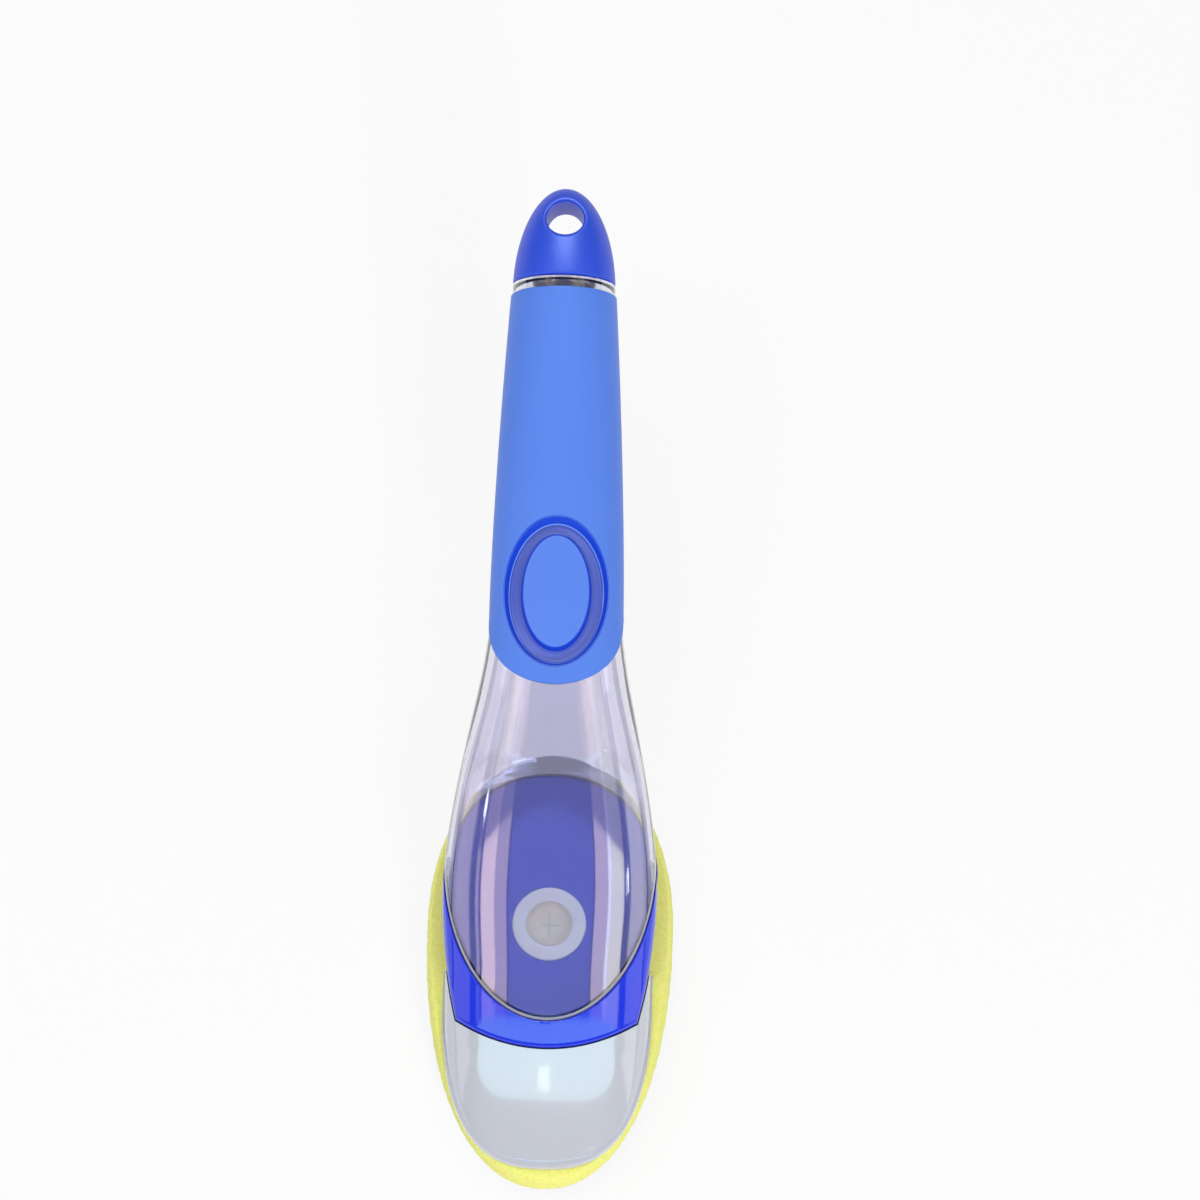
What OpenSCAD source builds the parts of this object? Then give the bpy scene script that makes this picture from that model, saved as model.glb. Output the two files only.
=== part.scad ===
// Dish wand with a soap reservoir in the handle and a slide-on foam refill.
// Units are millimetres. The scrubbing face lies on z = 0 with its centre at the origin,
// the toe points to -Y, the handle rises towards +Y, and x = 0 is the symmetry plane.

/* [Handle] */
// Angle between the handle and the scrubbing face
head_angle = 15; // [12:0.5:22]
// Height of the handle's axis over the heel of the head
heel_z = 45; // [43:0.5:50]
// Distance along the axis from the heel to the top edge of the grip
grip_top_s = 127; // [115:1:150]
// Half width of the grip at the button
grip_half_w = 18.4; // [17:0.1:20]
// Half depth of the handle from the grip down to the head
handle_half_d = 13.4; // [12.5:0.1:14.5]
// Thickness of the clear wall
shell_wall = 3; // [2.4:0.1:3.4]
// Depth that the grip is let into the clear wall
grip_inlay = 1.2; // [0.8:0.1:1.5]
// Height that the grip stands proud of the clear wall
grip_proud = 0.4; // [0.2:0.1:0.8]
// Distance along the axis from the heel to the grip's lower end
grip_low_s = 16.6; // [12:0.2:19]

/* [Neck and cap] */
// Radius of the clear collar under the cap
collar_r = 14.6; // [14:0.1:16]
// Length of the collar that shows between grip and cap
collar_show = 3; // [2:0.5:6]
// Outer radius of the neck that the cap screws onto
neck_r = 11; // [10.6:0.1:11.2]
// Height of the neck over the collar
neck_h = 9; // [8:0.5:12]
// Inner radius of the neck, the filling hole
fill_r = 9; // [7.5:0.1:9.4]
// Advance of the screw thread per turn
thread_lead = 6; // [5:0.5:8]
// Radial height of the thread ridge
thread_depth = 0.9; // [0.6:0.1:1]
// Width of the thread ridge along the axis
thread_w = 1.4; // [1:0.1:1.6]
// Length of the cap from its lower edge to its tip
cap_h = 27.8; // [26:0.2:34]
// Radius of the hanging hole
hang_r = 5.3; // [4:0.1:5.8]
// Distance of the hanging hole's centre from the cap's tip
hang_from_tip = 10.6; // [10:0.1:12]
// Thickness of the sealing ring in the cap
gasket_t = 1.2; // [0.8:0.1:1.6]

/* [Button] */
// Distance along the axis from the heel to the button's centre
button_s = 42.2; // [40:0.2:48]
// Half width of the button's raised oval
button_half_w = 8.8; // [7.5:0.1:9.5]
// Half length of the button's raised oval
button_half_l = 15; // [13:0.1:16]
// Width of the soft groove round the button
groove_w = 3.9; // [3:0.1:4.2]
// Width of the sloping ring wall round the groove
bezel_w = 1.8; // [1.4:0.1:2.2]
// Depth of the groove floor under the handle's surface
groove_depth = 2.9; // [2.6:0.1:3.2]
// Thickness of the soft skin
membrane_t = 1.2; // [0.8:0.1:1.4]
// Gap between the button and the skin under it
button_gap = 0.2; // [0.1:0.05:0.4]

/* [Head] */
// Half width of the head at its widest
head_half_w = 29.9; // [28.5:0.1:31]
// Half width of the refill base beside the shoe
base_half_w = 29; // [28:0.1:29.4]
// Distance of the heel from the scrubbing face's centre
heel_y = 54.7; // [52:0.1:58]
// Distance of the refill base's toe from the scrubbing face's centre
toe_y = 57.9; // [56:0.1:60]
// Distance of the shoe's front edge from the scrubbing face's centre
shoe_front_y = 27.2; // [25:0.1:30]
// Radius of the curve of the shoe's front edge
shoe_front_r = 44; // [38:1:60]
// Distance of the clear dome's front from the scrubbing face's centre
dome_front_y = 20.2; // [16:0.1:21]
// Gap line between the clear dome and the shoe
dome_gap = 0.3; // [0.2:0.05:0.6]
// Thickness of the shoe's floor
floor_t = 2; // [1.6:0.1:3]
// Height of the space for the rails under the shoe's floor
rail_space = 3.3; // [3.3:0.1:4]
// Thickness of the shoe's side wall
shoe_wall = 2; // [1.6:0.1:3]

/* [Valve] */
// Distance of the valve heelward of the scrubbing face's centre
valve_y = 7.7; // [5:0.1:12]
// Outer radius of the valve's retaining ring
ring_r = 10.2; // [9:0.1:11]
// Inner radius of the retaining ring
ring_bore_r = 6.3; // [5.5:0.1:7]
// Height of the retaining ring over the shoe's floor
ring_proud = 0.8; // [0.5:0.1:1.5]

/* [Refill] */
// Half width of the foam
foam_half_w = 35; // [33:0.5:38]
// Length of the foam
foam_l = 124; // [120:0.5:130]
// Distance of the foam's widest place heelward of its middle
foam_wide_y = 11.5; // [4:0.5:18]
// Thickness of the foam
foam_t = 17; // [15:0.5:20]
// Thickness of the scrubbing layer
scrub_t = 5; // [3:0.5:6]
// Thickness of the refill base's plate
plate_t = 2.5; // [2:0.1:3]
// Running gap between the refill base and the shoe
slide_gap = 0.4; // [0.3:0.05:0.6]
// Radius of the soap hole in the refill base
soap_r = 6; // [4:0.1:6.5]

/* [Hidden] */
$fn = 96;

// Heights of the layers of the head, from the scrubbing face up
foam_top = scrub_t + foam_t;
plate_top = foam_top + plate_t;
skirt_low = plate_top + slide_gap;
floor_low = skirt_low + rail_space;
floor_top = floor_low + floor_t;
rim_z = foam_top + 1;

// Places along the handle's axis, measured from the heel
collar_top_s = grip_top_s + collar_show;
neck_top_s = collar_top_s + neck_h;
cap_gap = 0.3;
cap_low_s = collar_top_s + cap_gap;
cap_tip_s = cap_low_s + cap_h;
hang_s = cap_tip_s - hang_from_tip;
flare_s = button_s - 4;
full_y = 11;
full_s = (full_y - heel_y) / cos(head_angle);
cavity_top_s = grip_top_s - 9;

// Shape of the head
toe_start_y = -10;
toe_power = 2.6;
crown_power = 2.2;
side_power = 2.3;
upright_power = 8;
flare_power = 0.85;
dome_wide_y = 24;
dome_half_w = 29.3;
shoe_wide_y = 22;
shoe_toe_l = 74;
shoe_heel_l = 31;
shoe_heel_power = 2.5;
heel_drop = 1.8;
heel_drop_end_s = 28;
handle_step = grip_top_s / 14;

// Button group
membrane_rim = 0.8;
rim_play = 0.2;
dish_r = 120;
dish_depth = 0.9;
button_sunk = 0.3;

// Thread and cap
thread_turns = 0.75;
thread_gap = 0.35;
thread_root = 0.3;
neck_thread_s = neck_top_s - 1.4 - thread_lead * thread_turns;
cap_thread_s = neck_thread_s - thread_w - 0.3;
cap_bore_r = neck_r + thread_depth + thread_gap;
cap_bore_top_s = neck_top_s + gasket_t + 0.4;
cap_core_s = collar_top_s - 2;
gasket_seat = 0.1;

// Rails: the shoe's hooks face inwards and the refill base's hooks face outwards
base_rail_x = 12.6;
rail_t = 2;
hook = 2.5;
hook_t = 1;
hook_low = skirt_low + 0.7;
shoe_rail_x = base_rail_x + rail_t + hook + slide_gap;
rail_heel_y = 44;
rail_toe_y = -14;
heel_inset = 1.2;
plate_inset = 2.6;
plate_heel_l = foam_l / 2 - plate_inset - shoe_wide_y;
strip_end_y = -5;

// Hollow under the toe
pocket_half_w = 14;
pocket_toe_y = -43;
pocket_heel_y = -30;
pocket_h = 5.5;

// Valve
flange_r = 8.5;
flange_t = 1.3;
seat_depth = 1.2;
seat_play = 0.05;
nozzle_r = 5.4;
nozzle_wall = 1;
slit_w = 0.3;
slit_l = 6;
boss_r = 9.6;
boss_low = floor_low - 1.5;

// Foam: heights as shares of its thickness, and how far the side is drawn in there
foam_levels = [0, 0.12, 0.45, 0.8, 1];
foam_insets = [-1.3, -0.4, 0, -0.5, -1.8];
scrub_inset = 1;

// Fineness of the lofted shapes
ring_points = 32;
oval_points = 48;
far = 300;
beyond = 40;
eps = 0.01;

// Plain maths
function clamp01(t) = max(0, min(1, t));
function smooth(t) = let (c = clamp01(t)) c * c * (3 - 2 * c);
function mix(a, b, t) = a + (b - a) * t;
function bow(t, power, root) = pow(max(0, 1 - pow(clamp01(t), power)), 1 / root);
function curl(v, power) = sign(v) * pow(abs(v), 2 / power);

// Outer shape of the wand: half width, half depth and height at a place on the axis
function axis_z(y) = heel_z + (y - heel_y) * tan(head_angle);
function toe_t(y) = (toe_start_y - y) / (toe_start_y + toe_y);
function grip_width(s) =
    mix(collar_r, grip_half_w, 1 - pow(1 - clamp01((grip_top_s - s) / (grip_top_s - flare_s)), 1.5));
function flare_width(s) =
    mix(grip_half_w, head_half_w, smooth(pow(clamp01((flare_s - s) / (flare_s - full_s)), flare_power)));
function head_width(y) =
    y > full_y ? flare_width((y - heel_y) / cos(head_angle))
    : y > toe_start_y ? mix(head_half_w, base_half_w, smooth((full_y - y) / (full_y - toe_start_y)))
    : base_half_w * bow(toe_t(y), toe_power, toe_power);
function half_depth(s) = mix(collar_r, handle_half_d, clamp01((grip_top_s - s) / (grip_top_s - 20)));
function under_depth(s) = half_depth(s) + heel_drop * (1 - smooth(s / heel_drop_end_s));
function top_line(y) = axis_z(y) + handle_half_d / cos(head_angle);
function head_top(y) =
    y > toe_start_y ? top_line(y) : mix(rim_z, top_line(y), bow(toe_t(y), toe_power, crown_power));

// A station is [y, z, tilt, half width, height over the axis, depth under it, upper power, lower power]
function handle_station(s) =
    let (round_t = clamp01((grip_top_s - s) / 40))
    [heel_y + s * cos(head_angle), heel_z + s * sin(head_angle), head_angle,
        s > flare_s ? grip_width(s) : flare_width(s), half_depth(s), under_depth(s),
        mix(2, side_power, round_t), mix(2, side_power, round_t)];
function head_station(y) =
    let (z = max(axis_z(y), rim_z),
        tilt = head_angle * clamp01((y - full_y) / (heel_y - full_y)),
        depth = handle_half_d / cos(head_angle - tilt))
    [y, z, tilt, head_width(y), y > full_y ? depth : head_top(y) - z, depth + heel_drop,
        side_power, mix(upright_power, side_power, smooth((y - 30) / (heel_y - 30)))];

toe_steps = [0.012, 0.05, 0.11, 0.19, 0.29, 0.41, 0.55, 0.7, 0.85];
function stations(y_from, s_to) = concat(
    [for (t = toe_steps) let (y = mix(-toe_y, toe_start_y, t)) if (y >= y_from) head_station(y)],
    [for (t = [0:5]) let (y = mix(toe_start_y, full_y, t / 6)) if (y >= y_from) head_station(y)],
    [for (t = [0:7]) let (y = mix(full_y, heel_y, t / 8)) if (y >= y_from) head_station(y)],
    [for (k = [0:14]) let (s = k * handle_step) if (s < s_to - 1) handle_station(s)],
    [handle_station(s_to)]);
function station_ring(st, d) = [for (i = [0:ring_points - 1])
    let (a = 360 * i / ring_points,
        up = sin(a) >= 0,
        power = up ? st[6] : st[7],
        x = max(0.4, st[3] + d) * curl(cos(a), power),
        v = max(0.4, (up ? st[4] : st[5]) + d) * curl(sin(a), power))
    [x, st[0] - v * sin(st[2]), st[1] + v * cos(st[2])]];

// Closed loft through rings that all have the same number of points
module loft(rings) {
    count = len(rings[0]);
    last = (len(rings) - 1) * count;
    sides = [for (r = [0:len(rings) - 2], i = [0:count - 1], half = [0:1])
        let (j = (i + 1) % count, a = r * count, b = a + count)
        half == 0 ? [a + i, a + j, b + j] : [a + i, b + j, b + i]];
    first_face = [for (i = [count - 1:-1:0]) i];
    last_face = [for (i = [0:count - 1]) last + i];
    polyhedron(points = [for (r = rings) each r], faces = concat(sides, [first_face], [last_face]));
}

// The wand's outer form grown by d, from a place on the head to a place on the handle
module wand_form(d = 0, y_from = -toe_y, s_to = collar_top_s) {
    loft([for (st = stations(y_from, s_to)) station_ring(st, d)]);
}

// The same form near the grip and near the button, through the same stations
module grip_form(d) {
    wand_form(d, heel_y - 1);
}

module button_form(d) {
    wand_form(d, heel_y - 1, handle_step * ceil((button_s + button_half_l + 8) / handle_step));
}

// Places children in the handle's frame: x across, y along the outward normal, z along the axis
module in_handle() {
    translate([0, heel_y, heel_z])
        rotate([90 - head_angle, 0, 180])
            children();
}

// Prism along the handle's normal, of a flat shape drawn in x and s
module through_handle(h_low, h_high) {
    in_handle()
        translate([0, h_high, 0])
            rotate([90, 0, 0])
                linear_extrude(h_high - h_low)
                    children();
}

module oval(half_w, half_l) {
    polygon([for (i = [0:oval_points - 1])
        let (a = 360 * i / oval_points) [half_w * cos(a), half_l * sin(a)]]);
}

// Oval prism round the button's centre
module button_prism(grow, h_low = 0, h_high = beyond) {
    through_handle(h_low, h_high)
        translate([0, button_s])
            oval(button_half_w + grow, button_half_l + grow);
}

// Helical ridge of a right-handed screw thread, round the z axis
module thread_ridge(r_root, r_crest, z_low, turns) {
    steps = ceil(turns * 28);
    rings = [for (k = [0:steps])
        let (a = 360 * turns * k / steps,
            z = z_low + thread_lead * turns * k / steps,
            fade = min(1, 0.25 + min(k, steps - k) / 4),
            r_tip = mix(r_root, r_crest, fade),
            half_root = thread_w / 2,
            half_crest = thread_w / 4)
        [for (p = [[r_root, -half_root], [r_tip, -half_crest], [r_tip, half_crest], [r_root, half_root]])
            [p[0] * cos(a), p[0] * sin(a), z + p[1]]]];
    loft(r_crest > r_root ? rings : [for (r = rings) [r[3], r[2], r[1], r[0]]]);
}

// Plan outlines of the head, inset or grown by d
function dome_outline(d) = concat(
    [for (i = [0:24]) let (a = 180 + 180 * i / 24)
        [(dome_half_w + d) * cos(a), dome_wide_y + (dome_front_y + dome_wide_y + d) * sin(a)]],
    [[head_half_w + 3 + d, dome_wide_y + 4], [head_half_w + 3 + d, far],
        [-head_half_w - 3 - d, far], [-head_half_w - 3 - d, dome_wide_y + 4]]);
function shoe_half(y) =
    y < shoe_wide_y ? head_half_w * bow((shoe_wide_y - y) / shoe_toe_l, 2, 2)
    : head_half_w * bow((y - shoe_wide_y) / shoe_heel_l, shoe_heel_power, shoe_heel_power);
function front_arc_y(x) = shoe_front_r - shoe_front_y - sqrt(pow(shoe_front_r, 2) - pow(x, 2));
function arc_end_x(lo, hi, n) =
    let (mid = (lo + hi) / 2)
    n == 0 ? mid : shoe_half(front_arc_y(mid)) > mid ? arc_end_x(mid, hi, n - 1) : arc_end_x(lo, mid, n - 1);
corner_x = arc_end_x(5, head_half_w, 24);
corner_y = front_arc_y(corner_x);
function shoe_side() = concat(
    [for (i = [0:12]) let (y = mix(corner_y, shoe_wide_y, i / 12)) [shoe_half(y), y]],
    [for (i = [1:16]) let (a = 90 * i / 16, y = shoe_wide_y + shoe_heel_l * sin(a)) [shoe_half(y), y]]);
function shoe_outline() = concat(
    [for (i = [-10:10]) let (x = corner_x * i / 10) [x, front_arc_y(x)]],
    [for (i = [1:len(shoe_side()) - 1]) shoe_side()[i]],
    [for (i = [len(shoe_side()) - 2:-1:1]) [-shoe_side()[i][0], shoe_side()[i][1]]]);
function centre_pull(p, d) =
    let (c = [0, 14], r = norm(p - c)) c + (p - c) * (r + d) / r;
function foam_outline(d) = [for (i = [0:oval_points - 1])
    let (a = 360 * i / oval_points,
        reach = sin(a) > 0 ? foam_l / 2 - foam_wide_y : foam_l / 2 + foam_wide_y)
    [(foam_half_w + d) * cos(a), foam_wide_y + (reach + d) * sin(a)]];

module shoe_plan(d = 0) {
    polygon([for (p = shoe_outline()) centre_pull(p, d)]);
}

// The refill base's plate follows the shoe, and reaches on under the handle to the foam's heel
module plate_plan() {
    shoe_plan(-heel_inset);
    polygon([for (i = [0:32]) let (a = 180 * i / 32)
        [(head_half_w - heel_inset) * cos(a), shoe_wide_y + plate_heel_l * sin(a)]]);
}

module dome_plan(d = 0) {
    polygon(dome_outline(d));
}

module upright(z_low, z_high) {
    translate([0, 0, z_low])
        linear_extrude(z_high - z_low)
            children();
}

// Region that the grip covers: round lower end, square upper end, down to the parting line
grip_round_s = grip_low_s + grip_half_w;
module grip_region(grow = 0) {
    through_handle(-0.5, beyond) {
        translate([0, grip_round_s])
            intersection() {
                oval(grip_half_w + grow, grip_half_w + grow);
                translate([-beyond, -beyond])
                    square([2 * beyond, beyond]);
            }
        translate([-grip_half_w - grow - 2, grip_round_s - eps])
            square([2 * (grip_half_w + grow + 2), grip_top_s + eps - grip_round_s]);
    }
}

// Clear reservoir, handle, collar and neck in one moulding
module handle_shell() {
    color([0.80, 0.82, 0.90, 0.45]) {
        difference() {
            intersection() {
                wand_form(0, -shoe_front_y);
                upright(floor_top, floor_top + 3 * beyond)
                    dome_plan();
            }
            intersection() {
                wand_form(-shell_wall, -shoe_front_y, cavity_top_s);
                upright(floor_top - 1, floor_top + 3 * beyond)
                    dome_plan(-shell_wall);
            }
            difference() {
                intersection() {
                    grip_form(grip_proud + 1);
                    grip_region();
                }
                grip_form(-grip_inlay);
            }
            difference() {
                intersection() {
                    button_form(grip_proud + 1);
                    button_prism(groove_w + bezel_w - rim_play);
                }
                button_form(-grip_inlay - membrane_rim);
            }
            button_prism(groove_w);
            in_handle()
                translate([0, 0, cavity_top_s - 2])
                    cylinder(h = beyond, r = fill_r);
        }
        in_handle() {
            difference() {
                translate([0, 0, collar_top_s - 3])
                    cylinder(h = neck_h + 3, r = neck_r);
                translate([0, 0, collar_top_s - 4])
                    cylinder(h = beyond, r = fill_r);
            }
            thread_ridge(neck_r - thread_root, neck_r + thread_depth, neck_thread_s, thread_turns);
        }
    }
}

// Soft overmould on the upper half of the handle
module grip_sleeve() {
    color([0.36, 0.53, 0.95])
        difference() {
            intersection() {
                grip_form(grip_proud);
                grip_region();
            }
            grip_form(-grip_inlay);
            button_prism(groove_w + bezel_w);
        }
}

// Harder ring that clamps the soft skin, with a sloping inner wall
module button_bezel() {
    color([0.07, 0.20, 0.78])
        difference() {
            intersection() {
                button_form(grip_proud - 0.1);
                button_prism(groove_w + bezel_w);
            }
            button_form(-grip_inlay);
            through_handle(0, handle_half_d + 3)
                translate([0, button_s])
                    oval(button_half_w + groove_w, button_half_l + groove_w);
        }
}

// Soft skin: a clamped rim, a wall down to the groove floor, and the floor itself
module button_membrane() {
    color([0.36, 0.42, 0.80])
        difference() {
            intersection() {
                button_form(-grip_inlay);
                button_prism(groove_w + bezel_w - rim_play);
            }
            difference() {
                button_form(-grip_inlay - membrane_rim);
                button_prism(groove_w - eps);
            }
            button_form(-groove_depth - membrane_t);
            difference() {
                button_prism(groove_w - 1);
                button_form(-groove_depth);
            }
        }
}

// Raised oval that the thumb pushes, lightly dished
module thumb_button() {
    dish_low = half_depth(button_s) - dish_depth;
    color([0.40, 0.56, 0.97])
        difference() {
            intersection() {
                button_form(-button_sunk);
                button_prism(0);
            }
            button_form(-groove_depth + button_gap);
            in_handle()
                translate([0, dish_low, button_s])
                    rotate([-90, 0, 0])
                        rotate_extrude()
                            polygon(concat(
                                [for (r = [0:3:24]) [r, r * r / (2 * dish_r)]],
                                [[24, 10], [0, 10]]));
        }
}

// Screw cap: a bullet with the hanging hole across it
function cap_radius(s) = collar_r * sqrt(max(0, 1 - pow((s - cap_core_s) / (cap_tip_s - cap_core_s), 2)));
module end_cap() {
    color([0.15, 0.32, 0.88])
        in_handle() {
            difference() {
                rotate_extrude($fn = 96)
                    polygon(concat(
                        [[0, cap_low_s]],
                        [for (i = [0:17])
                            let (a = 90 * i / 18, s = mix(cap_low_s, cap_tip_s, sin(a))) [cap_radius(s), s]],
                        [[0, cap_tip_s]]));
                translate([0, 0, cap_low_s - 1])
                    cylinder(h = cap_bore_top_s - cap_low_s + 1, r = cap_bore_r);
                translate([0, beyond, hang_s])
                    rotate([90, 0, 0])
                        cylinder(h = 2 * beyond, r = hang_r);
            }
            rotate([0, 0, 180])
                thread_ridge(cap_bore_r + thread_root, cap_bore_r - thread_depth,
                    cap_thread_s + thread_lead / 2, thread_turns / 2);
            thread_ridge(cap_bore_r + thread_root, cap_bore_r - thread_depth, cap_thread_s,
                thread_turns / 2);
        }
}

// Flat ring that the cap presses onto the neck
module cap_gasket() {
    color([0.85, 0.86, 0.88])
        in_handle()
            translate([0, 0, neck_top_s + gasket_seat])
                difference() {
                    cylinder(h = gasket_t, r = neck_r + 0.4);
                    translate([0, 0, -1])
                        cylinder(h = gasket_t + 2, r = fill_r - 1);
                }
}

// Hooked rails, one on each side
rail_l = rail_heel_y - rail_toe_y;
module shoe_rail(side) {
    mirror([side, 0, 0]) {
        translate([shoe_rail_x, rail_toe_y, hook_low])
            cube([rail_t, rail_l, floor_low - hook_low + eps]);
        translate([shoe_rail_x - hook, rail_toe_y, hook_low])
            cube([hook + eps, rail_l, hook_t]);
    }
}

module base_rail(side) {
    rail_top = floor_low - slide_gap;
    ledge = hook_low + hook_t + slide_gap;
    mirror([side, 0, 0]) {
        translate([base_rail_x, rail_toe_y, plate_top - eps])
            cube([rail_t, rail_l, rail_top - plate_top + eps]);
        translate([base_rail_x + rail_t - eps, rail_toe_y, ledge])
            cube([hook + eps, rail_l, rail_top - ledge]);
    }
}

// Blue housing: cowl in front of the dome, floor under it, skirt open at the toe, and rails
module shoe() {
    color([0.13, 0.12, 0.72])
        difference() {
            union() {
                upright(skirt_low, floor_top)
                    shoe_plan();
                difference() {
                    intersection() {
                        wand_form(0, -shoe_front_y - 8, handle_step);
                        upright(floor_top - eps, floor_top + beyond)
                            shoe_plan();
                    }
                    upright(floor_top - 1, floor_top + 2 * beyond)
                        dome_plan(dome_gap);
                }
            }
            difference() {
                upright(skirt_low - 1, floor_low)
                    shoe_plan(-shoe_wall);
                shoe_rail(0);
                shoe_rail(1);
                translate([0, valve_y, boss_low])
                    cylinder(h = beyond, r = boss_r);
            }
            translate([-shoe_rail_x, -shoe_front_y - 1, skirt_low - 1])
                cube([2 * shoe_rail_x, shoe_front_y + rail_toe_y + 1 - eps, rail_space + 1]);
            translate([0, valve_y, floor_top - seat_depth])
                cylinder(h = beyond, r = ring_r + seat_play);
            translate([0, valve_y, floor_top - seat_depth - flange_t])
                cylinder(h = beyond, r = flange_r + seat_play);
            translate([0, valve_y, boss_low - 1])
                cylinder(h = beyond, r = nozzle_r + seat_play);
        }
}

// Snap ring over the valve's flange
module valve_retainer() {
    color([0.86, 0.88, 0.92])
        translate([0, valve_y, floor_top - seat_depth])
            difference() {
                cylinder(h = seat_depth + ring_proud, r = ring_r);
                translate([0, 0, -1])
                    cylinder(h = seat_depth + ring_proud + 2, r = ring_bore_r);
            }
}

// Silicone slit valve: flange, thin slit disc and short nozzle
module soap_valve() {
    flange_low = floor_top - seat_depth - flange_t;
    color([0.80, 0.74, 0.62])
        translate([0, valve_y, 0])
            difference() {
                union() {
                    translate([0, 0, flange_low])
                        cylinder(h = flange_t, r = flange_r);
                    translate([0, 0, boss_low])
                        cylinder(h = flange_low - boss_low + eps, r = nozzle_r);
                }
                translate([0, 0, flange_low + 0.9])
                    cylinder(h = flange_t, r = ring_bore_r - 0.7);
                translate([0, 0, boss_low - 1])
                    cylinder(h = flange_low - boss_low + 1, r = nozzle_r - nozzle_wall);
                for (turn = [0, 90])
                    rotate([0, 0, turn])
                        translate([-slit_l / 2, -slit_w / 2, boss_low])
                            cube([slit_l, slit_w, beyond]);
            }
}

// Glossy white base: plate, convex toe, side strips and rails
module refill_base() {
    color([0.92, 0.95, 0.99])
        difference() {
            union() {
                upright(foam_top, plate_top)
                    plate_plan();
                difference() {
                    intersection() {
                        wand_form(0, -toe_y, handle_step);
                        upright(foam_top, foam_top + beyond)
                            translate([-beyond, -toe_y - 1])
                                square([2 * beyond, toe_y + 1 + strip_end_y]);
                    }
                    upright(plate_top, foam_top + 2 * beyond)
                        shoe_plan(slide_gap);
                    translate([-pocket_half_w, pocket_toe_y, foam_top - 1])
                        cube([2 * pocket_half_w, pocket_heel_y - pocket_toe_y, pocket_h + 1]);
                }
                base_rail(0);
                base_rail(1);
                translate([0, valve_y, foam_top])
                    cylinder(h = boss_low - slide_gap - foam_top, r = soap_r + 1.6);
            }
            translate([0, valve_y, foam_top - 1])
                cylinder(h = beyond, r = soap_r);
        }
}

// Foam, fullest at half its height
module sponge() {
    color([0.94, 0.94, 0.50])
        loft([for (k = [0:len(foam_levels) - 1])
            [for (p = foam_outline(foam_insets[k])) [p[0], p[1], scrub_t + foam_t * foam_levels[k]]]]);
}

// Thin scrubbing layer, flat underneath
module scrub_pad() {
    color([0.20, 0.42, 0.75])
        linear_extrude(scrub_t)
            polygon(foam_outline(-scrub_inset));
}

handle_shell();
grip_sleeve();
button_bezel();
button_membrane();
thumb_button();
end_cap();
cap_gasket();
shoe();
valve_retainer();
soap_valve();
refill_base();
sponge();
scrub_pad();
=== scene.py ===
"""Dish wand: clear soap reservoir, soft grip with a thumb button, screw cap and slide-on foam refill.
Lengths of the part are millimetres in the row frame, and become metres when a mesh is made.
Lamps are placed in metres."""

import math

import bpy
import numpy as np
from mathutils import Matrix, Vector, noise


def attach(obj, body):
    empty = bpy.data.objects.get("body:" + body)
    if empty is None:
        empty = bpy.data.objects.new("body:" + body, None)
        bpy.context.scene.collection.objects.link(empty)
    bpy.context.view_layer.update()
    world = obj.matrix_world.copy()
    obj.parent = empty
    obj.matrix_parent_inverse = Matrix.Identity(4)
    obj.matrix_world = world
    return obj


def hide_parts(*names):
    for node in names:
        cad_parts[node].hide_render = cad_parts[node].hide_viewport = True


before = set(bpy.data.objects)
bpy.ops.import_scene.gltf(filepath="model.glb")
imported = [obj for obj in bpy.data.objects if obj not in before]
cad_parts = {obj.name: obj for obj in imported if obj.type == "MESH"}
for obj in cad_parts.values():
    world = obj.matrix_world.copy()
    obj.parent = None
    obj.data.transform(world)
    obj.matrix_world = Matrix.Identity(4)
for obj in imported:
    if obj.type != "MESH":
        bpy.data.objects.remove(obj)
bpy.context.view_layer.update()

MM = 0.001

# Handle, measured along its axis (s) from the heel of the head
HEAD_ANGLE = math.radians(15)
HEEL_Y, HEEL_Z = 54.7, 45.0
GRIP_TOP_S = 127.0
GRIP_LOW_S = 16.6
GRIP_HALF_W = 18.4
HANDLE_HALF_D = 13.4
COLLAR_R = 14.6
COLLAR_TOP_S = 130.0
SHELL_WALL = 3.0
GRIP_PROUD, GRIP_INLAY = 0.4, 1.2
HEEL_DROP, HEEL_DROP_END_S = 1.8, 28.0

# Neck, thread and cap
NECK_R, FILL_R = 11.0, 9.0
NECK_TOP_S = 139.0
THREAD_LEAD, THREAD_TURNS, THREAD_DEPTH, THREAD_W = 6.0, 0.75, 0.9, 1.4
CAP_LOW_S, CAP_TIP_S, CAP_CORE_S = 130.3, 158.1, 128.0
CAP_BORE_R, CAP_BORE_TOP_S = 12.25, 140.6
HANG_S, HANG_R, HANG_LIP = 147.5, 5.3, 1.3
CAP_EDGE_R = 0.5
NECK_ROOT_L, FILL_LOW_S = 3, GRIP_TOP_S - 12
THREAD_END_GAP, THREAD_GAP, THREAD_ROOT = 1.4, 0.3, 0.3
NECK_THREAD_S = NECK_TOP_S - THREAD_END_GAP - THREAD_LEAD * THREAD_TURNS
CAP_THREAD_S = NECK_THREAD_S - THREAD_W - THREAD_GAP

# Button group. An oval is its half width, its half length and how far along the axis it sits from BUTTON_S
BUTTON_S = 42.2
RING_OVAL = (14.5, 20.7, 0.0)
GROOVE_OVAL = (12.9, 19.0, -0.8)
PAD_FOOT = (9.9, 16.1, -0.6)
PAD_TOP = (9.5, 15.75, -0.1)
GROOVE_DEPTH, SKIN_T, BUTTON_TRAVEL = 2.9, 1.2, 3.0
BUTTON_SUNK, DISH_DEPTH, DISH_R, DISH_BLEND = 0.3, 0.9, 120.0, 0.25
PAD_RIM, PAD_FOOT_GAP = 0.6, 0.2
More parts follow.
